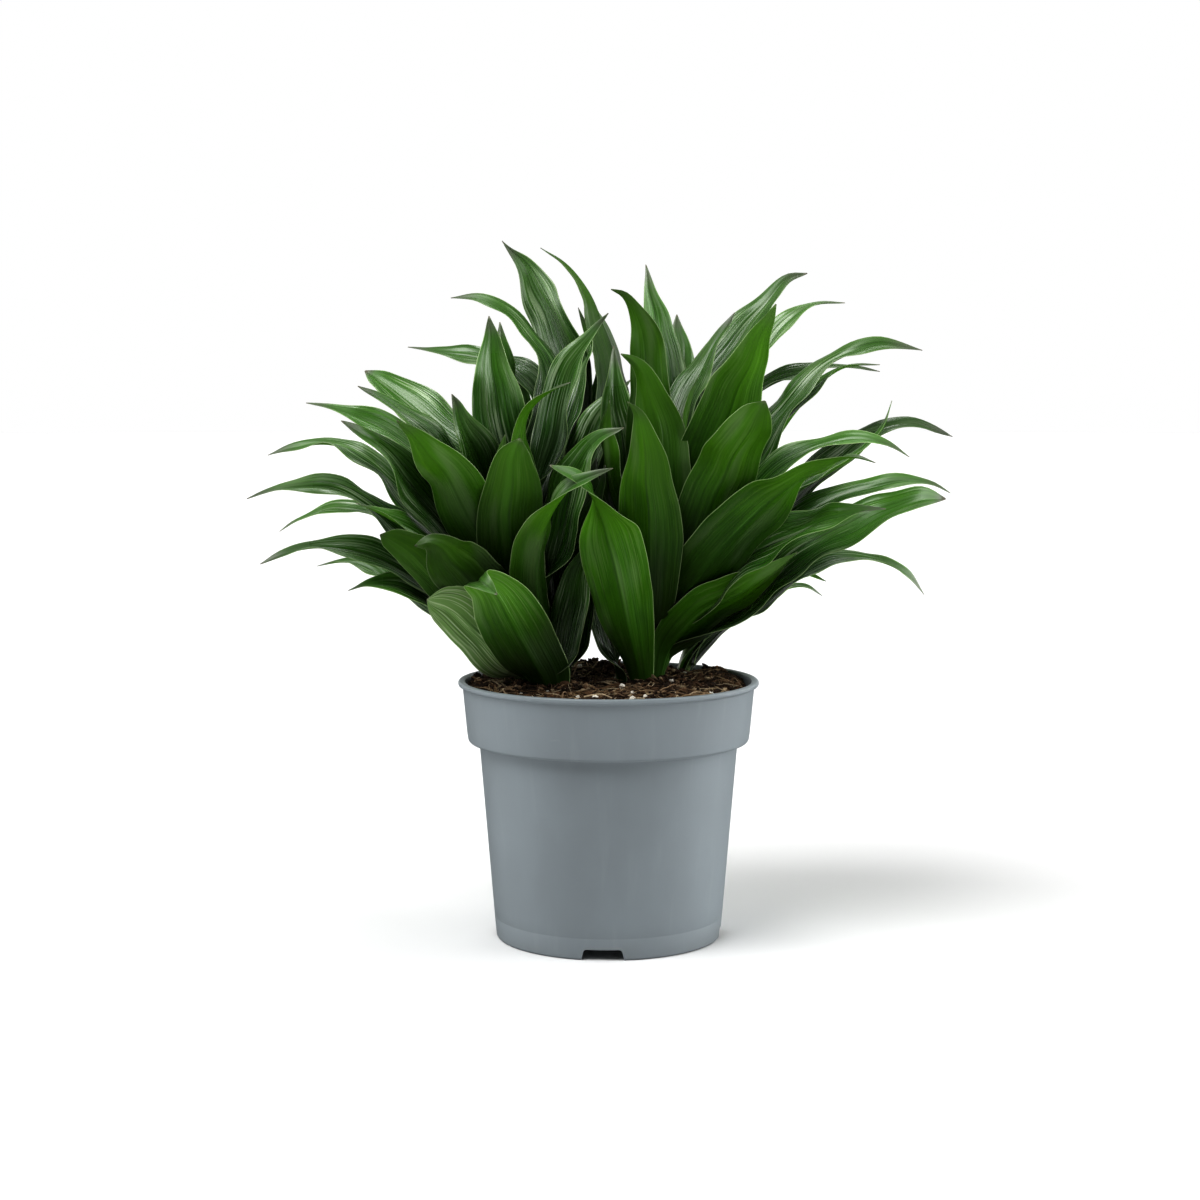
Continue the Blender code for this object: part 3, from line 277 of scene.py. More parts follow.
def leaf_frame(leaf, n, inset=-0.4):
    """Midrib points C, tangents T, upper-side normals N, width vectors S,
    half-widths, fold angles and the length, at n stations."""
    name, stem, h, az, W, pts, opt = leaf
    x, y, r = stem_at(stem, Z_SOIL + h)
    a = math.radians(az)
    rad = np.array([math.sin(a), -math.cos(a), 0.0])
    up = np.array([0.0, 0.0, 1.0])
    b0 = np.array([x, y, Z_SOIL + h]) + rad * (r + inset)
    b1 = b0 + rad * 3.8 + up * 8.5
    low = np.array([x, y, Z_SOIL + h - 7.0]) + rad * (r + inset - 0.6)
    if opt.get("raw"):
        P = [low, b0, b1] + [np.array(q, float) for q in pts]
    else:
        reach = opt.get("reach")
        if reach is not None:
            # depth runs evenly from the foot to the tip's depth
            q = np.array([sketch_of(b1)] + [p[:2] for p in pts])
            run = np.concatenate([[0.0], np.cumsum(np.linalg.norm(np.diff(q, axis=0), axis=1))])
            deep = b1[1] + (reach - b1[1]) * (run / run[-1])[1:]
            pts = [(p[0], p[1], d) for p, d in zip(pts, deep)]
        P = [low, b0, b1] + [place(*q) for q in pts]
    # the foot sits on the side of the stem to which the leaf heads, and the blade
    # leaves the stem in a straight line
    k = 3
    while k < len(P) - 1 and np.linalg.norm(P[k] - b0) < FOOT_READ:
        k += 1
    d = P[k][:2] - np.array([x, y])
    want = math.atan2(d[0], -d[1])
    swing = (want - a + math.pi) % (2 * math.pi) - math.pi
    a += swing * opt.get("heading", 0.9)
    rad = np.array([math.sin(a), -math.cos(a), 0.0])
    # the lowest leaves come out of the soil a little off the stem, one round the next
    off = inset + 4.5 * (1 - h / 12.0) if h < 12 else inset
    b0 = np.array([x, y, Z_SOIL + h]) + rad * (r + off)
    if "foot" in opt:
        b0 = place(*opt["foot"])
    rest = [q for q in P[3:] if np.linalg.norm(q - b0) > 14.0]
    go = unit(rest[0] - b0)
    go = unit(go + up * opt.get("rise", 0.35))
    P = [b0 - 5.0 * unit(go + 0.8 * up), b0, b0 + 7.0 * go] + rest
    C, length = spline(P, n)
    T = np.gradient(C, axis=0)
    T /= np.linalg.norm(T, axis=1)[:, None]
    N = np.zeros_like(C)
    v = -rad + T[0] * (rad @ T[0])
    N[0] = v / np.linalg.norm(v)
    for i in range(1, n):
        v1 = C[i] - C[i - 1]
        c1 = v1 @ v1
        nl = N[i - 1] - (2 / c1) * (v1 @ N[i - 1]) * v1
        tl = T[i - 1] - (2 / c1) * (v1 @ T[i - 1]) * v1
        v2 = T[i] - tl
        c2 = v2 @ v2
        N[i] = nl - (2 / c2) * (v2 @ nl) * v2 if c2 > 1e-12 else nl
        N[i] -= T[i] * (N[i] @ T[i])
        N[i] /= np.linalg.norm(N[i])
    s = np.linspace(0.0, 1.0, n)
    # turn of the blade about its midrib, as seen from the front: 0 shows the upper
    # side, 90 is edge-on with the upper side up, 180 shows the underside
    turn = opt.get("turn")
    if turn is not None:
        V = np.array([EYE_X, -EYE_D, EYE_Z]) - C
        V -= T * np.sum(V * T, axis=1)[:, None]
        V /= np.linalg.norm(V, axis=1)[:, None]
        U = np.cross(T, V)
        if np.sum(U @ (up * 1.5 - rad)) < 0:
            U = -U
        if isinstance(turn, (int, float)):
            turn = [(0.0, turn), (1.0, turn)]
        want = np.interp(s, [k[0] for k in turn], [k[1] for k in turn])
        for _ in range(n // 6):
            want[1:-1] = 0.25 * want[:-2] + 0.5 * want[1:-1] + 0.25 * want[2:]
        nat = np.degrees(np.arctan2(np.sum(N * U, axis=1), np.sum(N * V, axis=1)))
        nat = want + (nat - want + 180.0) % 360.0 - 180.0
        k = smooth((s - 0.08) / 0.30)
        ang = np.radians(nat * (1 - k) + want * k)
        N = V * np.cos(ang)[:, None] + U * np.sin(ang)[:, None]
    if "fold_at" in opt:
        # past the fold the blade simply follows on, so that it can lie back on itself
        for i in range(int(np.searchsorted(s, opt["fold_at"])), n):
            ax = np.cross(T[i - 1], T[i])
            sn = np.linalg.norm(ax)
            v = N[i - 1]
            if sn > 1e-6:
                ax = ax / sn
                cs = float(T[i - 1] @ T[i])
                v = v * cs + np.cross(ax, v) * sn + ax * (ax @ v) * (1 - cs)
            v = v - T[i] * (v @ T[i])
            N[i] = v / np.linalg.norm(v)
    S = np.cross(T, N)
    w = W * width_at(s, opt.get("kind", "")) * 0.5
    f0, f1, f2 = opt.get("fold", (30.0, 16.0, 20.0))
    phi = np.radians(np.where(s < 0.45, f0 + (f1 - f0) * smooth(s / 0.45),
                              f1 + (f2 - f1) * smooth((s - 0.45) / 0.55)))
    return s, C, T, N, S, w, phi, length


IDX = np.round(np.linspace(0, 56, LEAF_N)).astype(int)
MAX_SHIFT = 7.0
SKIP = 2                # stations of sheath left out when the leaves are parted


def strip_faces():
    F = []
    for k in range(SKIP, LEAF_N - 1):
        a, b = 4 * k, 4 * (k + 1)
        for e in range(4):
            f = (e + 1) % 4
            if e < 2:
                F += [(a + e, b + f, b + e), (a + e, a + f, b + f)]
            else:
                F += [(a + e, a + f, b + e), (a + f, b + f, b + e)]
    z = 4 * (LEAF_N - 1)
    F += [(z, z + 1, z + 3), (z + 1, z + 2, z + 3)]
    return F


STRIP = strip_faces()
STRIP_A = np.array(STRIP)


def settle(leaves, rounds, clear):
    """Part the blades: where two swollen blades meet, both give way a little,
    across the blade and fading along it and towards the foot, until all are clear."""
    n = len(leaves)
    frames, width, rise, half, pin = [], [], [], [], []
    for lf in leaves:
        s, C, T, N, S, w, phi, length = leaf_frame(lf, 57)
        frames.append((C[IDX], T[IDX], N[IDX], S[IDX]))
        ww = w[IDX] * 0.96 + clear * 0.5
        rise.append((ww * np.sin(phi[IDX]))[:, None] * N[IDX])
        width.append((ww * np.cos(phi[IDX]))[:, None] * S[IDX])
        half.append((0.25 + clear * 0.5) * N[IDX])
        pin.append(smooth(s[IDX] / 0.16)[:, None] * (0.0 if lf[6].get("pin") else 1.0))
    shift = [np.zeros((LEAF_N, 3)) for _ in range(n)]
    fresh = [True] * n
    trees, cents = [None] * n, [None] * n
    apart = {}
    left = []
    for turn in range(rounds):
        for i in range(n):
            if not fresh[i]:
                continue
            c = frames[i][0] + shift[i]
            V = np.stack([c - width[i] + rise[i], c + half[i], c + width[i] + rise[i], c - half[i]], 1).reshape(-1, 3)
            W = V[4 * SKIP:]
            trees[i] = (BVHTree.FromPolygons(V.tolist(), STRIP), W.min(0), W.max(0))
            cents[i] = V[STRIP_A].mean(1)
        lo = np.array([t[1] for t in trees])
        hi = np.array([t[2] for t in trees])
        move = [None] * n
        left = []
        for i in range(n):
            near = np.nonzero((lo[i] <= hi[i + 1:]).all(1) & (lo[i + 1:] <= hi[i]).all(1))[0] + i + 1
            for j in near:
                j = int(j)
                if not fresh[i] and not fresh[j] and apart.get((i, j)):
                    continue
                hit = trees[i][0].overlap(trees[j][0])
                apart[i, j] = not hit
                if not hit:
                    continue
                left.append((leaves[i][0], leaves[j][0]))
                ci = cents[i][[q[0] for q in hit]].mean(0)
                cj = cents[j][[q[1] for q in hit]].mean(0)
                c = 0.5 * (ci + cj)
                Ci, Ti, Ni, Si = frames[i]
                Cj, Tj, Nj, Sj = frames[j]
                Pi, Pj = Ci + shift[i], Cj + shift[j]
                a = int(np.argmin(np.linalg.norm(Pi - c, axis=1)))
                b = int(np.argmin(np.linalg.norm(Pj - c, axis=1)))
                ta, tb = Ti[a], Tj[b]
                nn = Ni[a] + (Nj[b] if Ni[a] @ Nj[b] >= 0 else -Nj[b])
                d = Pi[a] - Pj[b]
                x = np.cross(ta, tb)
                if np.linalg.norm(x) > 0.55:
                    nn = x
                nn = nn - 0.5 * (ta + tb) * (nn @ (0.5 * (ta + tb)))
                nn /= max(np.linalg.norm(nn), 1e-9)
                sgn = 1.0 if d @ nn >= 0 else -1.0
                if abs(d @ nn) < 0.25 and leaves[i][1] == leaves[j][1]:
                    up = 1.0 if leaves[i][2] > leaves[j][2] else -1.0
                    sgn = up if nn @ Nj[b] >= 0 else -up
                for q, P, m, sg in ((i, Pi, a, sgn), (j, Pj, b, -sgn)):
                    fall = np.exp(-(np.linalg.norm(P - P[m], axis=1) / 20.0) ** 2)
                    if move[q] is None:
                        move[q] = np.zeros((LEAF_N, 3))
                    move[q] += (0.32 * sg * fall)[:, None] * nn
        if not left:
            break
        for i in range(n):
            fresh[i] = move[i] is not None
            if fresh[i]:
                g = np.linalg.norm(move[i], axis=1, keepdims=True)
                shift[i] += move[i] * np.minimum(1.0, 0.7 / np.maximum(g, 1e-9)) * pin[i]
                g = np.linalg.norm(shift[i], axis=1, keepdims=True)
                shift[i] *= np.minimum(1.0, MAX_SHIFT / np.maximum(g, 1e-9))
    return shift, left


def spread_shift(shift, s):
    """The coarse shift read at stations s, smoothly."""
    k = np.linspace(0.0, 1.0, LEAF_N)
    out = np.stack([np.interp(s, k, shift[:, c]) for c in range(3)], 1)
    m = max(len(s) // 28, 1)
    for _ in range(10):
        out[m:-m] = 0.25 * out[:-2 * m] + 0.5 * out[m:-m] + 0.25 * out[2 * m:]
    return out


def unit(v):
    return v / np.maximum(np.linalg.norm(v, axis=-1, keepdims=True), 1e-9)


def leaf_mesh(leaf, shift, n, m, rng):
    """Fine leaf: a thin closed shell of n stations by m columns.  Returns the
    vertices (mm), quads, which quads are on the upper side, and per vertex the
    place across (-1..1), along (0..1), and both in millimetres."""
    name, stem, h, az, W, pts, opt = leaf
    s, C, T, N, S, w, phi, length = leaf_frame(leaf, n)
    C = C + spread_shift(shift, s)
    T2 = unit(np.gradient(C, axis=0))
    N = unit(N - T2 * np.sum(N * T2, axis=1)[:, None])
    S = np.cross(T2, N)
    # the blade rolls a little to and fro about its midrib, more so towards the tip
    own = np.random.default_rng(int(1000 * abs(C[-1, 0]) + 10 * length))
    way, q = own.uniform(30, 46), own.uniform(0, 2 * math.pi)
    roll = np.radians(opt.get("roll", 9.0)) * own.uniform(0.7, 1.4) * np.sin(2 * math.pi * s * length / way + q) * smooth((s - 0.30) / 0.5)
    N, S = N * np.cos(roll)[:, None] + S * np.sin(roll)[:, None], S * np.cos(roll)[:, None] - N * np.sin(roll)[:, None]
    sway = 0.55 * np.sin(2 * math.pi * s * length / own.uniform(24, 34) + q) * smooth((s - 0.5) / 0.3) * smooth((1.0 - s) / 0.12)
    C = C + S * sway[:, None] * opt.get("sway", 1.0)
    # columns: closer together at the midrib and at the margins
    t = np.linspace(-1, 1, m)
    x = np.sign(t) * (0.62 * np.abs(t) + 0.38 * (3 * np.abs(t) ** 2 - 2 * np.abs(t) ** 3))
    X, SS = np.meshgrid(x, s)
    ax = np.abs(X)
    w1, ph = w[:, None], phi[:, None]
    full = w / w.max()
    rr = (np.sqrt(X ** 2 + 0.012) - math.sqrt(0.012)) / (math.sqrt(1.012) - math.sqrt(0.012))
    a = w1 * X * np.cos(ph)
    b = w1 * np.sin(ph) * rr
    # each half is a little crowned, and its margin turns down
    crown = rng.uniform(0.02, 0.07)
    b = b + w1 * crown * 4 * ax * (1 - ax)
    b = b - w1 * rng.uniform(0.02, 0.07) * ax ** 4
    # the foot clasps the stem: an arc that opens upwards into the folded blade
    open_ = smooth(s / 0.34)[:, None]
    th = 0.80 * (1 - open_) + 0.12
    a = a * open_ + w1 / th * np.sin(th * X) * (1 - open_)
    b = b * open_ + w1 / th * (1 - np.cos(th * X)) * (1 - open_)
    # lengthwise pleats
    env = smooth(SS / 0.18) * smooth((1 - SS) / 0.16) * (1 - ax ** 5)
    pleat = 0.0
    for f, amp in ((2.6, 0.17), (4.1, 0.13), (5.8, 0.10)):
        p0, p1, p2 = rng.uniform(0, 2 * math.pi, 3)
        drift = 0.7 * np.sin(2 * math.pi * SS * rng.uniform(0.4, 1.0) + p1)
        pleat = pleat + amp * rng.uniform(0.6, 1.3) * np.cos(math.pi * f * X * rng.uniform(0.92, 1.08) + p0 + drift) \
            * (0.75 + 0.25 * np.sin(2 * math.pi * SS * 1.6 + p2))
    b = b + pleat * env * (full[:, None] ** 0.7) * opt.get("pleat", 1.0)
    # waving margins, each side with its own rhythm
    wave = opt.get("wave", 1.0) * rng.uniform(0.7, 1.25)
    for side in (-1, 1):
        on = np.clip(side * X, 0, 1)
        l1, l2 = rng.uniform(26, 44), rng.uniform(12, 19)
        q1, q2 = rng.uniform(0, 2 * math.pi, 2)
        ripple = 0.75 * np.sin(2 * math.pi * SS * length / l1 + q1) + 0.25 * np.sin(2 * math.pi * SS * length / l2 + q2)
        b = b + wave * ripple * on ** 2.4 * smooth((SS - 0.12) / 0.25) * smooth((1 - SS) / 0.10) * (full[:, None] ** 0.8)
        # the outline wavers a little too
        a = a + side * 0.02 * w1 * on * np.sin(2 * math.pi * SS * length / (l1 * 1.3) + q2)
    # slow lengthwise undulation of the whole blade
    u0 = rng.uniform(0, 2 * math.pi)
    b = b + 0.45 * np.sin(2 * math.pi * SS * length / rng.uniform(45, 70) + u0) * smooth((SS - 0.2) / 0.3)
    P = C[:, None, :] + a[..., None] * S[:, None, :] + b[..., None] * N[:, None, :]
    # surface normals from the grid
    du = np.gradient(P, axis=1)
    dv = np.gradient(P, axis=0)
    G = unit(np.cross(du, dv))
    if np.sum(G * N[:, None, :]) < 0:
        G = -G
    thick = (0.16 + 0.30 * (1 - ax ** 2)) * (0.55 + 0.45 * smooth((1 - SS) / 0.3))
    rib = np.exp(-(X * w1 / 0.62) ** 2) * smooth((SS - 0.02) / 0.1) * smooth((0.93 - SS) / 0.45)
    top = P + G * (0.5 * thick - 0.10 * rib)[..., None]
    bot = P - G * (0.5 * thick + 0.32 * rib)[..., None]
    # the margins meet in one rounded edge
    V = np.concatenate([top.reshape(-1, 3), bot.reshape(-1, 3)])
    q = np.arange(n * m).reshape(n, m)
    A, B, D, E = q[:-1, :-1].ravel(), q[:-1, 1:].ravel(), q[1:, 1:].ravel(), q[1:, :-1].ravel()
    o = n * m
    up = np.stack([A, B, D, E], 1)
    dn = np.stack([A + o, E + o, D + o, B + o], 1)
    l0, l1_ = q[:-1, 0], q[1:, 0]
    r0, r1 = q[:-1, -1], q[1:, -1]
    e0, e1 = q[0, :-1], q[0, 1:]
    t0, t1 = q[-1, :-1], q[-1, 1:]
    rim = np.concatenate([
        np.stack([l0, l1_, l1_ + o, l0 + o], 1), np.stack([r1, r0, r0 + o, r1 + o], 1),
        np.stack([e1, e0, e0 + o, e1 + o], 1), np.stack([t0, t1, t1 + o, t0 + o], 1)])
    F = np.concatenate([up, dn, rim])
    side = np.concatenate([np.zeros(len(up)), np.ones(len(dn)), np.zeros(len(rim))]).astype(int)
    # orientation: upper side faces along G
    f = up[len(up) // 2]
    g = np.cross(V[f[1]] - V[f[0]], V[f[2]] - V[f[0]])
    if g @ G.reshape(-1, 3)[f[0]] < 0:
        F = F[:, ::-1]
    Xm = X * w1
    Sm = SS * length
    K1 = np.stack([X, SS, np.broadcast_to(w1 / W * 2, X.shape)], -1).reshape(-1, 3)
    K2 = np.stack([Xm, Sm, X * W * 0.5], -1).reshape(-1, 3)
    return V, F, side, np.concatenate([K1, K1]), np.concatenate([K2, K2])


# ================================================================= meshes
def place_in_frame(V):
    return np.asarray(V, float) * MM + np.array([OX, OY, 0.0])


def make_piece(name, V, F, mats, index=None, attrs=None, smooth_faces=True, sharp=None):
    me = bpy.data.meshes.new(name)
    F = [tuple(int(i) for i in f) for f in F]
    me.from_pydata(place_in_frame(V).tolist(), [], F)
    for m in mats:
        me.materials.append(m)
    if index is not None:
        me.polygons.foreach_set("material_index", np.asarray(index, np.int32))
    for key, val in (attrs or {}).items():
        val = np.asarray(val, np.float32)
        if val.ndim == 1:
            me.attributes.new(key, "FLOAT", "POINT").data.foreach_set("value", val)
        else:
            me.attributes.new(key, "FLOAT_VECTOR", "POINT").data.foreach_set("vector", val.ravel())
    if smooth_faces:
        me.polygons.foreach_set("use_smooth", np.ones(len(me.polygons), bool))
        if sharp:
            me.set_sharp_from_angle(angle=math.radians(sharp))
    me.validate()
    me.update()
    ob = bpy.data.objects.new(name, me)
    bpy.context.scene.collection.objects.link(ob)
    return ob


# ================================================================= materials
class Graph:
    """Small helper for node trees: values and sockets are both taken as inputs."""

    def __init__(self, name):
        self.mat = bpy.data.materials.new(name)
        self.mat.use_nodes = True
        self.nt = self.mat.node_tree
        self.bsdf = self.nt.nodes["Principled BSDF"]

    def put(self, socket, value):
        if isinstance(value, bpy.types.NodeSocket):
            self.nt.links.new(value, socket)
        elif isinstance(value, (tuple, list)) and len(value) == 3 and socket.type == "RGBA":
            socket.default_value = (*value, 1.0)
        else:
            socket.default_value = value

    def node(self, kind, props=None, **ins):
        n = self.nt.nodes.new(kind)
        for k, v in (props or {}).items():
            setattr(n, k, v)
        for k, v in ins.items():
            self.put(n.inputs[k.replace("_", " ")], v)
        return n

    def math(self, op, a, b=0.0, c=0.0, clamp=False):
        n = self.nt.nodes.new("ShaderNodeMath")
        n.operation = op
        n.use_clamp = clamp
        self.put(n.inputs[0], a)
        self.put(n.inputs[1], b)
        self.put(n.inputs[2], c)
        return n.outputs[0]

    def span(self, v, lo, hi, a=0.0, b=1.0, soft=True):
        n = self.nt.nodes.new("ShaderNodeMapRange")
        n.interpolation_type = "SMOOTHSTEP" if soft else "LINEAR"
        n.clamp = True
        for k, val in zip((0, 1, 2, 3, 4), (v, lo, hi, a, b)):
            self.put(n.inputs[k], val)
        return n.outputs[0]

    def mix(self, f, a, b, blend="MIX"):
        n = self.nt.nodes.new("ShaderNodeMix")
        n.data_type = "RGBA"
        n.blend_type = blend
        n.clamp_factor = True
        self.put(n.inputs[0], f)
        self.put(n.inputs[6], a)
        self.put(n.inputs[7], b)
        return n.outputs[2]

    def vec(self, x, y, z=0.0):
        n = self.nt.nodes.new("ShaderNodeCombineXYZ")
        for k, v in enumerate((x, y, z)):
            self.put(n.inputs[k], v)
        return n.outputs[0]

    def attr(self, name):
        n = self.nt.nodes.new("ShaderNodeAttribute")
        n.attribute_name = name
        return n

    def parts(self, vector):
        n = self.nt.nodes.new("ShaderNodeSeparateXYZ")
        self.put(n.inputs[0], vector)
        return n.outputs

    def noise(self, vector, scale=1.0, detail=3.0, rough=0.5, distort=0.0):
        n = self.nt.nodes.new("ShaderNodeTexNoise")
        self.put(n.inputs["Vector"], vector)
        n.inputs["Scale"].default_value = scale
        n.inputs["Detail"].default_value = detail
        n.inputs["Roughness"].default_value = rough
        n.inputs["Distortion"].default_value = distort
        return n.outputs["Fac"] if "Fac" in n.outputs else n.outputs[0]

    def bump(self, height, strength, distance, normal=None):
        n = self.nt.nodes.new("ShaderNodeBump")
        n.inputs["Strength"].default_value = strength
        n.inputs["Distance"].default_value = distance
        self.put(n.inputs["Height"], height)
        if normal is not None:
            self.put(n.inputs["Normal"], normal)
        return n.outputs[0]

    def done(self, color, rough, normal=None, spec=0.5, **more):
        self.put(self.bsdf.inputs["Base Color"], color)
        self.put(self.bsdf.inputs["Roughness"], rough)
        self.bsdf.inputs["Specular IOR Level"].default_value = spec
        if normal is not None:
            self.put(self.bsdf.inputs["Normal"], normal)
        for k, v in more.items():
            self.bsdf.inputs[k.replace("_", " ")].default_value = v
        return self.mat


def leaf_material(upper):
    g = Graph("leaf_upper" if upper else "leaf_under")
    x, s, wide = g.parts(g.attr("leaf_at").outputs["Vector"])
    xm, sm, xn = g.parts(g.attr("leaf_mm").outputs["Vector"])
    var, lift, gain = g.parts(g.attr("leaf_tone_and_shade").outputs["Vector"])
    ax = g.math("ABSOLUTE", x)
    axm = g.math("ABSOLUTE", xm)
    seed = g.math("MULTIPLY", var, 53.0)

    def along(across, down, detail=2.0, rough=0.5, off=0.0):
        return g.noise(g.vec(g.math("MULTIPLY", xn, across), g.math("MULTIPLY", sm, down), g.math("ADD", seed, off)),
                       detail=detail, rough=rough)

    # parallel veins: they run the leaf's length and close up towards both ends
    band = along(0.36, 0.007)
    vein = along(1.25, 0.011, 2.0, 0.55)
    fine = along(4.6, 0.03, 2.0, 0.6)
    dash = along(1.15, 0.035, 1.0, 0.50, 7.0)       # dashes a centimetre or three long, for the painted pale glints and streaks and for the bump
    glint_patch = g.noise(g.vec(g.math("MULTIPLY", xm, 0.10), g.math("MULTIPLY", sm, 0.030), g.math("ADD", seed, 3.0)), detail=1.0)
    cloud = g.noise(g.vec(g.math("MULTIPLY", xm, 0.09), g.math("MULTIPLY", sm, 0.035), seed), detail=2.0)
    if upper:
        deep, mid, lit = (0.008, 0.046, 0.0025), (0.042, 0.160, 0.0090), (0.130, 0.310, 0.040)
        pale = (0.52, 0.64, 0.42)
    else:
        deep, mid, lit = (0.022, 0.098, 0.0020), (0.064, 0.222, 0.0040), (0.165, 0.400, 0.0130)
        pale = (0.25, 0.42, 0.11)
    c = g.mix(g.span(vein, 0.34, 0.60), deep, mid)
    if not upper:
        c = g.mix(0.45, c, mid)
    # painted highlight: lighter streaks along the veins
    c = g.mix(g.math("MULTIPLY", g.span(band, 0.50, 0.74), 0.55 if upper else 0.36), c, lit)
    c = g.mix(g.math("MULTIPLY", g.math("MULTIPLY", g.span(fine, 0.52, 0.72), g.span(wide, 0.2, 0.7)), 0.22 if upper else 0.10), c, lit)
    c = g.mix(g.math("MULTIPLY", g.span(cloud, 0.40, 0.70), 0.40), c, mid)
    c = g.mix(g.math("MULTIPLY", g.span(cloud, 0.52, 0.30), 0.45), c, deep)
    # painted light: brighter and yellower towards the tip, lit through from above; the deep green low down is a painted
    # shade
    c = g.mix(g.math("MULTIPLY", g.span(s, 0.45, 0.85), 0.30), c, lit)
    # painted glints: pale streaks of reflected light along the veins, in patches
    glints = g.math("MULTIPLY", g.span(dash, 0.51, 0.62), g.span(glint_patch, 0.40, 0.60))
    glints = g.math("MULTIPLY", glints, g.span(wide, 0.30, 0.75))
    c = g.mix(g.math("MULTIPLY", glints, 0.62 if upper else 0.20), c, pale)
    # painted sheen: soft broad pale patches of reflected light
    sheen = g.noise(g.vec(g.math("MULTIPLY", xm, 0.13), g.math("MULTIPLY", sm, 0.022), g.math("ADD", seed, 11.0)), detail=1.0)
    c = g.mix(g.math("MULTIPLY", g.span(sheen, 0.54, 0.74), 0.30 if upper else 0.42), c, (0.23, 0.34, 0.15))
    ribbed_sheen = g.span(gain, 1.2, 1.7)          # the palest leaves: ribbed, with a painted pale sheen and painted pale streaks of light
    c = g.mix(g.math("MULTIPLY", ribbed_sheen, 0.50), c, (0.27, 0.37, 0.18))
    c = g.mix(g.math("MULTIPLY", g.math("MULTIPLY", ribbed_sheen, g.span(vein, 0.50, 0.36)), 0.62), c, (0.060, 0.135, 0.022))
    c = g.mix(g.math("MULTIPLY", g.math("MULTIPLY", ribbed_sheen, g.span(dash, 0.52, 0.64)), 0.60), c, (0.50, 0.60, 0.38))
    # painted shade: the blade turns deep green towards its foot, inside the crown; lift moves where this begins
    c = g.mix(g.span(g.math("ADD", s, lift), 0.80, 0.12, 0.0, 0.88), c, (0.0045, 0.023, 0.0007))
    c = g.mix(g.math("MULTIPLY", g.span(s, 0.07, 0.0), 0.30), c, (0.13, 0.21, 0.04))
    # midrib
    rib = g.span(axm, 0.75, 0.12)
    rib = g.math("MULTIPLY", rib, g.span(s, 0.95, 0.55))
    c = g.mix(g.math("MULTIPLY", rib, 0.50), c, deep)
    # thin pale margin
    edge = g.math("SUBTRACT", g.math("ABSOLUTE", g.math("DIVIDE", xm, g.math("MAXIMUM", ax, 0.001))), axm)
    rim = g.span(edge, 0.42, 0.08)
    rim = g.math("MULTIPLY", rim, g.span(wide, 0.08, 0.36, 0.2, 1.0))
    c = g.mix(g.math("MULTIPLY", rim, 0.62), c, (0.46, 0.60, 0.30))
    # the drawn-out tip is greyer, and dry at its very end
    thin = g.math("MULTIPLY", g.span(s, 0.74, 0.95), g.span(wide, 0.34, 0.12))
    thin = g.math("MULTIPLY", thin, g.span(gain, 1.29, 1.20))
    c = g.mix(g.math("MULTIPLY", thin, 0.85 if upper else 0.30), c, (0.115, 0.145, 0.085))
    tip = g.span(s, 0.984, 0.997)
    c = g.mix(g.math("MULTIPLY", tip, 0.80 if upper else 0.45), c, (0.17, 0.15, 0.11))
    # each leaf's own random tone (var), times its gain: painted light and shade over the whole leaf
    own = g.node("ShaderNodeHueSaturation", Hue=0.5, Saturation=1.0,
                 Value=g.math("MULTIPLY", g.math("MINIMUM", gain, 1.15), g.span(var, 0.0, 1.0, 0.82, 1.20, soft=False)), Fac=1.0, Color=c)
    c = own.outputs[0]
    h = g.math("ADD", g.math("MULTIPLY", vein, 0.8), g.math("MULTIPLY", dash, 0.6))
    h = g.math("MULTIPLY", g.math("MULTIPLY", h, g.span(wide, 0.45, 1.0)), g.span(s, 0.92, 0.62))
    n = g.bump(h, 0.8 if upper else 0.6, 0.0009 if upper else 0.0008)
    rough = g.span(vein, 0.3, 0.7, 0.20, 0.34) if upper else g.span(vein, 0.3, 0.7, 0.30, 0.44)
    # duller where the blade narrows to its tip
    rough = g.math("MAXIMUM", rough, g.span(wide, 0.75, 0.35, 0.0, 0.42))
    return g.done(c, rough, n, spec=0.8 if upper else 0.45)


def stem_material():
    g = Graph("stem_cane")
    co = g.node("ShaderNodeTexCoord").outputs["Object"]
    px, py, pz = g.parts(co)
    ring = g.noise(g.vec(g.math("MULTIPLY", px, 60.0), g.math("MULTIPLY", py, 60.0), g.math("MULTIPLY", pz, 420.0)), detail=3.0)
    streak = g.noise(g.vec(g.math("MULTIPLY", px, 900.0), g.math("MULTIPLY", py, 900.0), g.math("MULTIPLY", pz, 90.0)), detail=3.0)
    c = g.mix(g.span(ring, 0.35, 0.65), (0.06, 0.13, 0.02), (0.16, 0.25, 0.07))
    c = g.mix(g.math("MULTIPLY", g.span(streak, 0.5, 0.75), 0.5), c, (0.12, 0.085, 0.04))
    n = g.bump(g.math("ADD", ring, g.math("MULTIPLY", streak, 0.4)), 0.6, 0.0005)
    return g.done(c, g.span(streak, 0.3, 0.7, 0.45, 0.65), n, spec=0.4)


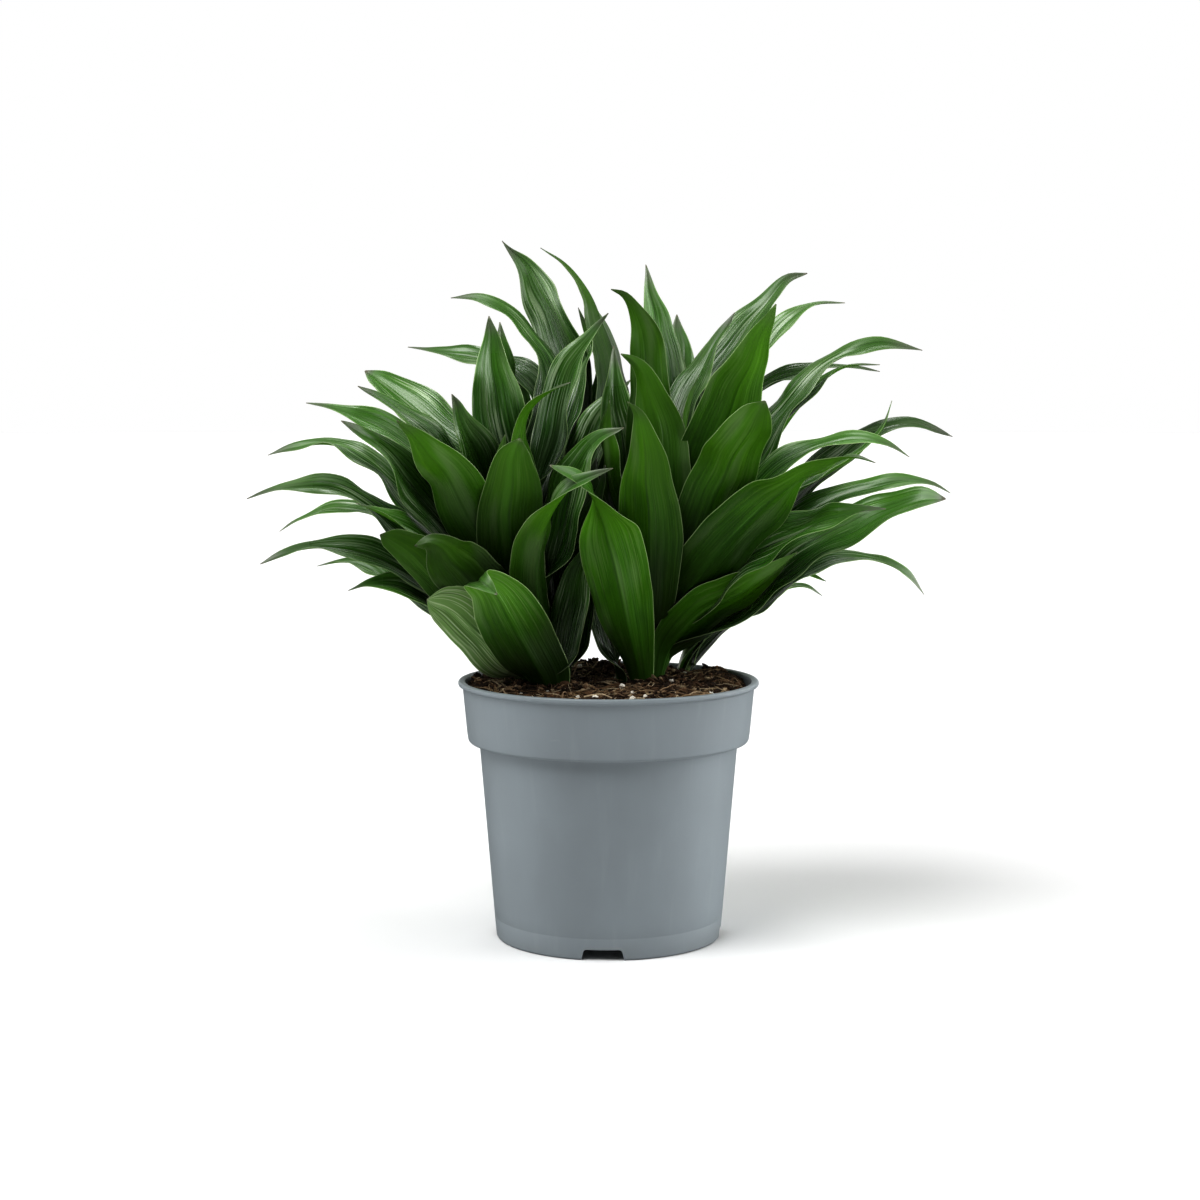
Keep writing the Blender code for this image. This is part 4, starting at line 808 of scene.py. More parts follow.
def pot_material():
    g = Graph("pot_plastic")
    co = g.node("ShaderNodeTexCoord").outputs["Object"]
    px, py, pz = g.parts(co)
    cloud = g.noise(g.vec(g.math("MULTIPLY", px, 28.0), g.math("MULTIPLY", py, 28.0), g.math("MULTIPLY", pz, 16.0)), detail=4.0, rough=0.55)
    fine = g.noise(co, scale=2600.0, detail=2.0)
    drag = g.noise(g.vec(g.math("MULTIPLY", px, 220.0), g.math("MULTIPLY", py, 220.0), g.math("MULTIPLY", pz, 14.0)), detail=3.0)
    scuff = g.noise(g.vec(g.math("MULTIPLY", px, 90.0), g.math("MULTIPLY", py, 90.0), g.math("MULTIPLY", pz, 260.0)), detail=5.0, rough=0.7)
    c = g.mix(g.span(cloud, 0.3, 0.7), (0.238, 0.268, 0.286), (0.257, 0.291, 0.311))
    c = g.mix(g.math("MULTIPLY", g.span(drag, 0.55, 0.8), 0.25), c, (0.305, 0.335, 0.355))
    c = g.mix(g.math("MULTIPLY", g.span(scuff, 0.66, 0.78), 0.30), c, (0.32, 0.345, 0.36))
    # darker in blotches towards the bottom of the foot
    low = g.math("MULTIPLY", g.span(pz, 0.012, 0.0, 0.0, 0.30), g.span(cloud, 0.35, 0.65))
    c = g.mix(low, c, (0.17, 0.175, 0.17))
    n = g.bump(fine, 0.18, 0.00012)
    n = g.bump(drag, 0.05, 0.0004, n)
    rough = g.span(cloud, 0.3, 0.7, 0.43, 0.52)
    return g.done(c, rough, n, spec=0.5)


def soil_material(name, dark, mid, lit, rough=0.95, tone=False):
    g = Graph(name)
    co = g.node("ShaderNodeTexCoord").outputs["Object"]
    a = g.noise(co, scale=420.0, detail=5.0, rough=0.65)
    b = g.noise(co, scale=1700.0, detail=3.0, rough=0.6)
    c = g.mix(g.span(a, 0.36, 0.62), dark, mid)
    c = g.mix(g.math("MULTIPLY", g.span(b, 0.58, 0.74), 0.7), c, lit)
    if tone:
        own = g.attr("tone").outputs["Vector"]
        c = g.mix(0.85, c, g.mix(g.span(b, 0.3, 0.7), own, g.mix(0.5, own, dark)))
    n = g.bump(g.math("ADD", a, g.math("MULTIPLY", b, 0.5)), 0.8, 0.0008)
    return g.done(c, rough, n, spec=0.25)


# ================================================================= pot
def turned(profile, seg):
    """Surface of revolution round the pot's axis; a point on the axis closes it."""
    V, F, rows = [], [], []
    for r, z in profile:
        if r < 1e-6:
            rows.append([len(V)] * seg)
            V.append((0.0, 0.0, z))
        else:
            rows.append(list(range(len(V), len(V) + seg)))
            for k in range(seg):
                a = 2 * math.pi * k / seg
                V.append((r * math.sin(a), -r * math.cos(a), z))
    for a, b in zip(rows, rows[1:]):
        for k in range(seg):
            q = [a[k], a[(k + 1) % seg], b[(k + 1) % seg], b[k]]
            q = [v for i, v in enumerate(q) if v not in q[:i]]
            if len(q) > 2:
                F.append(q)
    return V, F


def arc(cx, cz, r, a0, a1, n=6):
    """Points on a small arc of the profile, angles in degrees from +radius."""
    return [(cx + r * math.cos(math.radians(a)), cz + r * math.sin(math.radians(a)))
            for a in np.linspace(a0, a1, n)]


def body_r(z):
    return BODY_R_LOW + (BODY_R_TOP - BODY_R_LOW) * (z - 2.0) / (COLLAR_Z - 2.0)


def collar_r(z):
    return COLLAR_R_LOW + (COLLAR_R_TOP - COLLAR_R_LOW) * (z - COLLAR_Z) / (POT_H - LIP_H - COLLAR_Z)


def pot_profile():
    zl = POT_H - LIP_H
    p = [(0.0, FLOOR_Z0), (BODY_R_LOW - FOOT_WALL - 1.2, FLOOR_Z0),
         (BODY_R_LOW - FOOT_WALL - 0.7, FLOOR_Z0 - 0.5), (BODY_R_LOW - FOOT_WALL - 0.9, 0.0)]
    # foot and its rounded outer edge
    p += arc(BODY_R_LOW - 1.25, 1.2, 1.2, -90, -5, 6)
    # body, with the shallow mould line a little above the foot
    p += [(body_r(4.0), 4.0), (body_r(8.2), 8.2), (body_r(8.5) - 0.07, 8.5), (body_r(8.8) - 0.07, 8.8), (body_r(9.1), 9.1)]
    p += [(body_r(z), z) for z in (14.0, 22.0, 32.0, 44.0, 56.0, 66.0, 73.0, 76.5)]
    # hollow curve up into the underside of the collar
    r0 = body_r(COLLAR_Z)
    p += [(r0 - 0.02, COLLAR_Z - 1.4), (r0 + 0.12, COLLAR_Z - 0.6), (r0 + 0.5, COLLAR_Z - 0.15), (r0 + 1.2, COLLAR_Z)]
    p += arc(COLLAR_R_LOW - 1.45, COLLAR_Z + 1.45, 1.45, -88, -4, 8)
    p += [(collar_r(z), z) for z in (COLLAR_Z + 4.0, COLLAR_Z + 10.0, COLLAR_Z + 16.0)]
    p += [(collar_r(zl - 1.2), zl - 1.2), (collar_r(zl - 0.4) + 0.08, zl - 0.4), (collar_r(zl) + 0.35, zl - 0.08),
          (RIM_R - 0.75, zl + 0.05)]
    # rolled lip
    p += arc(RIM_R - 0.85, zl + 0.95, 0.85, -70, 0, 5)
    p += [(RIM_R, zl + 1.6)]
    p += arc(RIM_R - 0.9, POT_H - 0.9, 0.9, 10, 90, 6)
    p += [(RIM_R - 1.7, POT_H - 0.02), (COLLAR_R_TOP - WALL + 0.8, POT_H - 0.08), (COLLAR_R_TOP - WALL + 0.25, POT_H - 0.35),
          (COLLAR_R_TOP - WALL, POT_H - 0.9)]
    p += [(collar_r(zl) - WALL, zl), (collar_r(90.0) - WALL, 90.0), (COLLAR_R_LOW - WALL, COLLAR_Z + 2.4),
          (COLLAR_R_LOW - WALL - 0.5, COLLAR_Z + 1.5), (COLLAR_R_LOW - WALL - 1.2, COLLAR_Z + 1.1),
          (r0 - WALL + 0.9, COLLAR_Z + 0.9), (r0 - WALL + 0.2, COLLAR_Z + 0.5), (r0 - WALL, COLLAR_Z - 0.2)]
    p += [(body_r(55.0) - WALL, 55.0), (body_r(30.0) - WALL, 30.0), (body_r(8.0) - WALL - 0.1, FLOOR_Z1 + 1.4),
          (body_r(8.0) - WALL - 0.5, FLOOR_Z1 + 0.4), (body_r(8.0) - WALL - 1.6, FLOOR_Z1), (0.0, FLOOR_Z1)]
    return p


def inner_r(z):
    """Radius of the pot's inside at a height."""
    zl = POT_H - LIP_H
    zz = [FLOOR_Z1 + 1.4, 30.0, 55.0, COLLAR_Z - 0.2, COLLAR_Z + 0.9, COLLAR_Z + 2.4, zl, POT_H]
    rr = [body_r(8.0) - WALL - 0.1, body_r(30.0) - WALL, body_r(55.0) - WALL, body_r(COLLAR_Z) - WALL,
          COLLAR_R_LOW - WALL - 0.9, COLLAR_R_LOW - WALL, collar_r(zl) - WALL, COLLAR_R_TOP - WALL]
    return float(np.interp(z, zz, rr))


def make_pot():
    ob = None
    V, F = turned(pot_profile(), 192)
    mat = pot_material()
    ob = make_piece("nursery_pot", V, F, [mat])
    tools = []
    for k in range(4):
        a = math.radians(90 * k + NOTCH_TURN)
        c, s = math.cos(a), math.sin(a)
        ring = [(-NOTCH_W / 2 - 1.6, -1.0), (NOTCH_W / 2 + 1.6, -1.0), (NOTCH_W / 2 + 0.5, NOTCH_H - 0.9),
                (NOTCH_W / 2 + 0.1, NOTCH_H - 0.25), (NOTCH_W / 2 - 0.6, NOTCH_H),
                (-NOTCH_W / 2 + 0.6, NOTCH_H), (-NOTCH_W / 2 - 0.1, NOTCH_H - 0.25), (-NOTCH_W / 2 - 0.5, NOTCH_H - 0.9)]
        V = []
        for yy in (-BODY_R_LOW - 4.0, -BODY_R_LOW + FOOT_WALL + 2.5):
            for xx, zz in ring:
                V.append((xx * c - yy * s, xx * s + yy * c, zz))
        n = len(ring)
        F = [list(range(n)), list(range(n, 2 * n))[::-1]] + [(j, j + n, (j + 1) % n + n, (j + 1) % n) for j in range(n)]
        tools.append(make_piece("cut_notch_%d" % k, V, F, [mat], smooth_faces=False))
    for k in range(DRAINS):
        a = 2 * math.pi * (k + 0.5) / DRAINS
        n = 24
        V = [(DRAIN_RING_R * math.cos(a) + DRAIN_R * math.cos(q), DRAIN_RING_R * math.sin(a) + DRAIN_R * math.sin(q), z)
             for z in (FLOOR_Z0 - 1.0, FLOOR_Z1 + 1.0) for q in (2 * math.pi * j / n for j in range(n))]
        F = [list(range(n))[::-1], list(range(n, 2 * n))] + [(j, (j + 1) % n, (j + 1) % n + n, j + n) for j in range(n)]
        tools.append(make_piece("cut_drain_%d" % k, V, F, [mat], smooth_faces=False))
    import bmesh
    for t in tools + [ob]:
        bm = bmesh.new()
        bm.from_mesh(t.data)
        bmesh.ops.recalc_face_normals(bm, faces=bm.faces)
        bm.to_mesh(t.data)
        bm.free()
    for t in tools:
        m = ob.modifiers.new(t.name, "BOOLEAN")
        m.operation = "DIFFERENCE"
        m.object = t
    dg = bpy.context.evaluated_depsgraph_get()
    me = bpy.data.meshes.new_from_object(ob.evaluated_get(dg))
    ob.modifiers.clear()
    ob.data = me
    for t in tools:
        bpy.data.objects.remove(t, do_unlink=True)
    me.polygons.foreach_set("use_smooth", np.ones(len(me.polygons), bool))
    me.set_sharp_from_angle(angle=math.radians(32))
    me.update()
    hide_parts("pot")
    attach(ob, "root")
    return ob


# ================================================================= soil
def value_noise(x, y, seed, scale):
    """Smooth random field on the plane, -1..1."""
    rng = np.random.default_rng(seed)
    grid = rng.uniform(-1, 1, (64, 64))
    u, v = np.asarray(x) / scale + 31.3, np.asarray(y) / scale + 29.1
    i, j = np.floor(u).astype(int), np.floor(v).astype(int)
    fu, fv = u - i, v - j
    fu, fv = fu * fu * (3 - 2 * fu), fv * fv * (3 - 2 * fv)
    g = lambda a, b: grid[a % 64, b % 64]
    return (g(i, j) * (1 - fu) + g(i + 1, j) * fu) * (1 - fv) + (g(i, j + 1) * (1 - fu) + g(i + 1, j + 1) * fu) * fv


def soil_level(x, y):
    """Height of the loose soil: heaped behind the middle and at the left wall,
    hollow towards the right and rear wall."""
    x, y = np.asarray(x, float), np.asarray(y, float)
    z = Z_SOIL - 0.1 + 0 * x
    z = z + 1.3 * value_noise(x, y, 3, 13.0) + 1.2 * value_noise(x, y, 4, 5.5) + 0.6 * value_noise(x, y, 5, 2.2)
    z = z + 6.2 * np.exp(-(((x + 3) / 14.0) ** 2 + ((y - 41) / 10.0) ** 2))
    z = z + 3.2 * np.exp(-(((x + 50) / 9.0) ** 2 + ((y - 2) / 14.0) ** 2))
    z = z + 1.6 * np.exp(-(((x + 27) / 12.0) ** 2 + ((y - 6) / 12.0) ** 2))
    z = z + 2.2 * np.exp(-(((x - 18) / 12.0) ** 2 + ((y - 17) / 11.0) ** 2))
    z = z + 1.2 * np.exp(-(((x - 30) / 11.0) ** 2 + ((y - 36) / 10.0) ** 2))
    z = z + 3.4 * np.exp(-(((x - 42) / 15.0) ** 2 + ((y - 26) / 17.0) ** 2))
    r = np.hypot(x, y)
    z = z + 0.6 * smooth((-y - 30) / 20.0) - 0.2 * smooth((r - 50) / 6.0)
    return z


def blob(rng, sub):
    """A rough grain: icosphere with its points moved in and out."""
    V, F = ICO[sub]
    k = 1 + rng.uniform(-0.28, 0.28, len(V))
    return V * k[:, None], F


def icosphere(sub):
    t = (1 + 5 ** 0.5) / 2
    V = [(-1, t, 0), (1, t, 0), (-1, -t, 0), (1, -t, 0), (0, -1, t), (0, 1, t), (0, -1, -t), (0, 1, -t),
         (t, 0, -1), (t, 0, 1), (-t, 0, -1), (-t, 0, 1)]
    V = [Vector(v).normalized() for v in V]
    F = [(0, 11, 5), (0, 5, 1), (0, 1, 7), (0, 7, 10), (0, 10, 11), (1, 5, 9), (5, 11, 4), (11, 10, 2), (10, 7, 6),
         (7, 1, 8), (3, 9, 4), (3, 4, 2), (3, 2, 6), (3, 6, 8), (3, 8, 9), (4, 9, 5), (2, 4, 11), (6, 2, 10), (8, 6, 7), (9, 8, 1)]
    for _ in range(sub):
        seen, G = {}, []
        def half(a, b):
            key = (min(a, b), max(a, b))
            if key not in seen:
                seen[key] = len(V)
                V.append(((V[a] + V[b]) / 2).normalized())
            return seen[key]
        for a, b, c in F:
            ab, bc, ca = half(a, b), half(b, c), half(c, a)
            G += [(a, ab, ca), (b, bc, ab), (c, ca, bc), (ab, bc, ca)]
        F = G
    return np.array([v[:] for v in V]), np.array(F)


ICO = {k: icosphere(k) for k in (0, 1, 2)}


def turn_matrix(rng, tilt):
    """Random heading, and a tilt from level."""
    a, b, c = rng.uniform(0, 2 * math.pi), rng.normal(0, tilt), rng.normal(0, tilt)
    ca, sa, cb, sb, cc, sc = math.cos(a), math.sin(a), math.cos(b), math.sin(b), math.cos(c), math.sin(c)
    Z = np.array([[ca, -sa, 0], [sa, ca, 0], [0, 0, 1]])
    X = np.array([[1, 0, 0], [0, cb, -sb], [0, sb, cb]])
    Y = np.array([[cc, 0, sc], [0, 1, 0], [-sc, 0, cc]])
    return Z @ X @ Y


def fibre(points, r0, r1, seg=5):
    """Thin round strand along points, tapering, with closed ends."""
    P = np.asarray(points, float)
    n = len(P)
    T = unit(np.gradient(P, axis=0))
    ref = np.array([0.31, 0.17, 0.93])
    A = unit(np.cross(T, ref))
    B = np.cross(T, A)
    r = np.linspace(r0, r1, n)[:, None, None]
    q = np.arange(seg) * 2 * math.pi / seg
    ring = P[:, None, :] + r * (np.cos(q)[None, :, None] * A[:, None, :] + np.sin(q)[None, :, None] * B[:, None, :])
    V = np.concatenate([ring.reshape(-1, 3), P[:1], P[-1:]])
    F = []
    for i in range(n - 1):
        for k in range(seg):
            a, b = i * seg + k, i * seg + (k + 1) % seg
            F += [(a, b, b + seg), (a, b + seg, a + seg)]
    for k in range(seg):
        F += [(n * seg, (k + 1) % seg, k), (n * seg + 1, (n - 1) * seg + k, (n - 1) * seg + (k + 1) % seg)]
    return V, np.array(F)


class Heap:
    """Collects many small closed shapes in one mesh, each with its own tone."""

    def __init__(self):
        self.V, self.F, self.tone, self.n = [], [], [], 0

    def add(self, V, F, tone):
        self.V.append(V)
        self.F.append(np.asarray(F) + self.n)
        self.tone.append(np.tile(tone, (len(V), 1)))
        self.n += len(V)

    def piece(self, name, mat):
        ob = make_piece(name, np.concatenate(self.V), np.concatenate(self.F), [mat],
                        attrs={"tone": np.concatenate(self.tone)}, sharp=50)
        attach(ob, "root")
        return ob


def in_pot(rng, spread=1.0):
    while True:
        r = 54.0 * math.sqrt(rng.uniform(0, 1)) * spread
        a = rng.uniform(0, 2 * math.pi)
        x, y = r * math.cos(a), r * math.sin(a)
        if all(math.hypot(x - s["p"][0][0], y - s["p"][0][1]) > 7.5 for s in STEMS.values()):
            return x, y


BROWNS = [(0.030, 0.017, 0.010), (0.060, 0.032, 0.017), (0.12, 0.066, 0.034), (0.20, 0.115, 0.062), (0.38, 0.26, 0.155), (0.60, 0.47, 0.31)]
BROWN_P = [0.22, 0.20, 0.18, 0.17, 0.13, 0.10]


def make_soil():
    rng = np.random.default_rng(71)
    # body of the soil: fine top, plain sides and bottom inside the pot
    seg, rings = 168, 62
    rows, V = [], []
    side = [(inner_r(7.8) - 1.6, FLOOR_Z1 + 0.3), (inner_r(10.0) - 0.35, 10.0), (inner_r(45.0) - 0.35, 45.0),
            (inner_r(78.0) - 0.35, 78.4), (inner_r(84.0) - 1.9, 81.6), (inner_r(84.0) - 0.35, 84.0)]
    V.append((0.0, 0.0, FLOOR_Z1 + 0.3))
    rows.append([0] * seg)
    for r, z in side:
        rows.append(list(range(len(V), len(V) + seg)))
        V += [(r * math.sin(2 * math.pi * k / seg), -r * math.cos(2 * math.pi * k / seg), z) for k in range(seg)]
    for j in range(rings):
        f = 1 - j / rings
        rr = (inner_r(97.0) - 0.2) * (f ** 0.85)
        rows.append(list(range(len(V), len(V) + seg)))
        for k in range(seg):
            a = 2 * math.pi * k / seg
            x, y = rr * math.sin(a), -rr * math.cos(a)
            V.append((x, y, float(soil_level(x, y))))
    rows.append([len(V)] * seg)
    V.append((0.0, 0.0, float(soil_level(0.0, 0.0))))
    F = []
    for a, b in zip(rows, rows[1:]):
        for k in range(seg):
            q = [a[k], a[(k + 1) % seg], b[(k + 1) % seg], b[k]]
            q = [v for i, v in enumerate(q) if v not in q[:i]]
            if len(q) > 2:
                F.append(q)
    body = make_piece("soil_body", V, F, [soil_material("soil_peat", (0.010, 0.006, 0.004), (0.060, 0.034, 0.018), (0.32, 0.22, 0.13))])
    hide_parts("potting_soil")
    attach(body, "root")

    loose = soil_material("soil_loose", (0.012, 0.008, 0.005), (0.06, 0.034, 0.018), (0.30, 0.21, 0.13), tone=True)
    # peat crumbs
    h = Heap()
    for _ in range(2300):
        x, y = in_pot(rng, 1.02)
        size = rng.uniform(0.45, 1.25)
        B, G = blob(rng, 0)
        B = (B * size * np.array([1, rng.uniform(0.7, 1), rng.uniform(0.5, 0.9)])) @ turn_matrix(rng, 0.5).T
        z = float(soil_level(x, y)) + rng.uniform(-0.1, 0.7) * size
        h.add(B + (x, y, z), G, BROWNS[rng.choice(6, p=[0.30, 0.28, 0.20, 0.12, 0.06, 0.04])])
    h.piece("soil_crumbs", loose)
    # bark chips and coarse lumps
    h = Heap()
    for _ in range(520):
        x, y = in_pot(rng, 0.99)
        long = rng.uniform(1.6, 5.2)
        B, G = blob(rng, 1)
        B = B * np.array([long * 0.5, long * rng.uniform(0.22, 0.42), rng.uniform(0.3, 0.75)])
        B = B @ turn_matrix(rng, 0.35).T
        room = inner_r(100.0) - 0.4 - np.hypot(B[:, 0] + x, B[:, 1] + y).max()
        if room < 0:
            d = math.hypot(x, y)
            x, y = x * (d + room) / d, y * (d + room) / d
        z = float(soil_level(x, y)) + rng.uniform(0.0, 0.9)
        h.add(B + (x, y, z), G, BROWNS[rng.choice(6, p=BROWN_P)])
    # the dark lump at the left wall and a few on the heap at the back
    for x, y, z, sx, sy, sz in ((-53.0, 6.0, 103.0, 2.3, 1.8, 2.6), (-49.5, 2.0, 102.2, 3.0, 2.2, 1.7), (-8.0, 41.0, 104.6, 2.6, 2.0, 1.6),
                                (1.0, 42.0, 104.4, 3.0, 2.2, 1.8), (-2.5, 39.0, 105.2, 2.2, 1.8, 1.5), (5.5, 39.0, 103.0, 2.6, 2.2, 1.6)):
        B, G = blob(rng, 2)
        B = (B * np.array([sx, sy, sz])) @ turn_matrix(rng, 0.3).T
        h.add(B + (x, y, z - 0.6), G, BROWNS[0])
    h.piece("soil_chips", loose)
    # fibres, roots and straws
    h = Heap()
    straw = [(0.34, 0.23, 0.13), (0.52, 0.39, 0.24), (0.72, 0.60, 0.42), (0.20, 0.12, 0.06), (0.09, 0.05, 0.028)]
    for _ in range(640):
        x, y = in_pot(rng, 0.93)
        length = rng.uniform(3.5, 15.0) * (1.5 if rng.uniform() < 0.10 else 1.0)
        a, bend, lift = rng.uniform(0, 2 * math.pi), rng.normal(0, 0.9), rng.uniform(-0.1, 0.35)
        p = [np.array([x, y, float(soil_level(x, y)) + 0.2])]
        n = 9
        for i in range(n):
            a += bend / n + rng.normal(0, 0.07)
            q = p[-1] + length / n * np.array([math.cos(a), math.sin(a), 0])
            if math.hypot(q[0], q[1]) > inner_r(100.0) - 1.0:
                break
            q[2] = float(soil_level(q[0], q[1])) + 0.45 + lift * length * 0.25 * math.sin(math.pi * (i + 1) / n)
            p.append(q)
        if len(p) < 4:
            continue
        p = np.array(p)
        for _k in range(3):
            p[1:-1] = 0.25 * p[:-2] + 0.5 * p[1:-1] + 0.25 * p[2:]
        r = rng.uniform(0.12, 0.34)
        V, G = fibre(p, r, r * rng.uniform(0.3, 0.9))
        h.add(V, G, straw[rng.choice(5, p=[0.30, 0.24, 0.14, 0.20, 0.12])])
    # the paler twigs that lie at the front and on the right
    for p0, p1, r, sag, tone in (((-9.5, -44.0), (1.0, -47.0), 0.55, 1.2, (0.62, 0.50, 0.34)), ((-33.0, -38.0), (-27.0, -47.0), 0.30, 0.4, (0.60, 0.50, 0.34)),
                                 ((-44.0, -22.0), (-38.0, -33.0), 0.35, 1.8, (0.45, 0.34, 0.22)), ((-16.0, -36.0), (-18.0, -45.0), 0.28, 2.8, (0.34, 0.24, 0.15)),
                                 ((33.0, -20.0), (45.0, -30.0), 0.42, 0.8, (0.45, 0.33, 0.20)), ((25.0, -36.0), (40.0, -33.0), 0.34, 0.5, (0.40, 0.28, 0.16)),
                                 ((20.0, -22.0), (28.0, -10.0), 0.32, 1.8, (0.36, 0.25, 0.15)), ((36.0, -8.0), (49.0, -14.0), 0.30, 0.6, (0.62, 0.50, 0.34)),
                                 ((47.5, 3.0), (53.5, -6.5), 0.24, 3.2, (0.30, 0.22, 0.14)), ((30.0, -30.0), (37.0, -20.0), 0.30, 1.6, (0.66, 0.52, 0.35)),
                                 ((10.0, -38.0), (17.0, -44.0), 0.32, 0.9, (0.66, 0.54, 0.38)), ((-40.0, -34.0), (-30.0, -43.0), 0.34, 0.7, (0.58, 0.45, 0.30)),
                                 ((-2.0, -24.0), (6.0, -33.0), 0.26, 1.4, (0.30, 0.20, 0.12))):
        t = np.linspace(0, 1, 10)
        P = np.stack([p0[0] + (p1[0] - p0[0]) * t, p0[1] + (p1[1] - p0[1]) * t, 0 * t], 1)
        P[:, :2] += 0.5 * np.sin(t * 7.0)[:, None] * np.array([0.6, 0.8])
        P[:, 2] = np.max(soil_level(P[:, 0], P[:, 1])) * 0.5 + 0.5 * soil_level(P[:, 0], P[:, 1]) + r + 0.3 + sag * np.sin(math.pi * t)
        V, G = fibre(P, r, r * 0.6, seg=7)
        h.add(V, G, tone)
    h.piece("soil_fibres", soil_material("soil_fibre", (0.05, 0.03, 0.015), (0.18, 0.11, 0.06), (0.4, 0.3, 0.18), rough=0.8, tone=True))
    # perlite
    h = Heap()
    spots = [(-5.0, -46.5, 1.7), (2.5, -44.0, 1.2), (9.0, -45.5, 1.6), (22.0, -42.0, 1.1), (-24.0, -47.5, 0.9), (31.0, -26.0, 1.4),
             (14.0, -34.0, 1.0), (28.0, -33.0, 0.9), (-12.0, -30.0, 0.9), (40.0, -22.0, 1.1), (17.0, -47.0, 0.8)]
    for _ in range(30):
        x, y = in_pot(rng, 0.95)
        spots.append((x, y, 0.35 + 0.95 * rng.uniform(0, 1) ** 2))
    for x, y, r in spots:
        B, G = blob(rng, 2)
        B = (B * r * np.array([1, rng.uniform(0.75, 1), rng.uniform(0.65, 0.95)])) @ turn_matrix(rng, 0.5).T
        w = rng.uniform(0.80, 0.95)
        h.add(B + (x, y, float(soil_level(x, y)) + 0.55 * r), G, (w, w * 0.96, w * 0.87))
    h.piece("soil_perlite", soil_material("soil_perlite", (0.66, 0.63, 0.56), (0.80, 0.77, 0.70), (0.9, 0.88, 0.83), rough=0.9, tone=True))


# ================================================================= stems
def make_stems():
    mat = stem_material()
    for key, st in STEMS.items():
        p = np.array(st["p"], float)
        seg, rings = 28, 90
        V = []
        z0, z1 = 88.0, p[-1, 2] + 1.0
        rng = np.random.default_rng(ord(key))
        ph = rng.uniform(0, 6.28)
        for i in range(rings):
            z = z0 + (z1 - z0) * i / (rings - 1)
            x, y, r = stem_at(key, z)
            r *= 0.62 if key == "C" else 1.0
            scar = 0.22 * max(0.0, math.sin((z - z0) * 1.35 + ph + 0.4 * math.sin(z * 0.31))) ** 6
            r = r + 0.10 * math.sin(z * 0.7 + ph) + scar
            if i > rings - 6:
                r *= math.sqrt(max(0.02, 1 - ((i - rings + 6) / 5.0) ** 2))
            for k in range(seg):
                a = 2 * math.pi * k / seg
                rr = r * (1 + 0.02 * math.sin(3 * a + z * 0.2))
                V.append((x + rr * math.cos(a), y + rr * math.sin(a), z))
        F = []
        for i in range(rings - 1):
            for k in range(seg):
                a, b = i * seg + k, i * seg + (k + 1) % seg
                F.append((a, b, b + seg, a + seg))
        V.append(tuple(np.mean(V[:seg], axis=0)))
        V.append(tuple(np.mean(V[-1 - seg:-1], axis=0)))
        for k in range(seg):
            F.append((rings * seg, (k + 1) % seg, k))
            F.append((rings * seg + 1, (rings - 1) * seg + k, (rings - 1) * seg + (k + 1) % seg))
        ob = make_piece("cane_" + st["node"][5:], V, F, [mat])
        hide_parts(st["node"])
        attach(ob, "root")


# ================================================================= leaves
NAMES = {"a": "leaf_left_", "b": "leaf_right_", "c": "leaf_rear_"}


def make_leaves():
    upper, under = leaf_material(True), leaf_material(False)
    rear = rear_leaves()
    every = LEAVES + EXTRA + rear
    rounds = 70
    shift, left = settle(every, rounds, 0.5)
    print("leaves:", len(every), "pairs still touching:", len(left))
    far = sorted(((float(np.linalg.norm(q, axis=1).max()), lf[0]) for q, lf in zip(shift, every)), reverse=True)
    print("moved most:", [(n, round(d, 1)) for d, n in far[:14]])
    n, m = ((61, 27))
    for i, lf in enumerate(every):
        rng = np.random.default_rng(1000 + 7 * i)
        V, F, side, at, mm = leaf_mesh(lf, shift[i], n, m, rng)
        if lf in LEAVES:
            node = NAMES[lf[0][0]] + lf[0][1:]
            name = "blade_" + node[5:]
        else:
            node = None
            name = "blade_extra_" + lf[0]
        # per leaf: a random tone, the lift of its painted shade at the foot, and its gain (painted light and shade)
        own = np.tile((rng.uniform(0, 1), lf[6].get("lift", 0.0), lf[6].get("gain", 1.0)), (len(V), 1))
        ob = make_piece(name, V, F, [upper, under], side, {"leaf_at": at, "leaf_mm": mm, "leaf_tone_and_shade": own})
        if node:
            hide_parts(node)
        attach(ob, "root")


def rear_leaves():
    out = []
    k = 0
    for stem, count, h0, h1, az0, az1 in (("A", 7, 8, 58, 118, 236), ("B", 6, 8, 58, 112, 215), ("C", 3, 6, 24, 95, 215)):
        rng = np.random.default_rng(ord(stem) * 3)
        for i in range(count):
            f = (i + 0.5) / count
            h = h0 + (h1 - h0) * f
            az = az0 + (az1 - az0) * ((i * 0.618 + 0.2) % 1.0)
            length = rng.uniform(62, 88) * (0.9 if stem == "C" else 1.0)
            rise = 42 + 34 * f + rng.uniform(-5, 5)
            out.append(arch("r%02d" % k, stem, h, az, rng.uniform(19, 25), length, rise, rng.uniform(45, 80), rng.uniform(-14, 14)))
            k += 1
    return out


# ================================================================= stage
AMBIENT, LEFT_GLOW, RIGHT_GLOW, BACK_GLOW = 0.37, 2.5, 5.6, 0.6
GAMMA = 0.75
SUNS = [("key_left", -46, 56, 2.35, 38), ("fill_right", 62, 44, 0.55, 36), ("top_rear", 172, 60, 0.40, 14)]


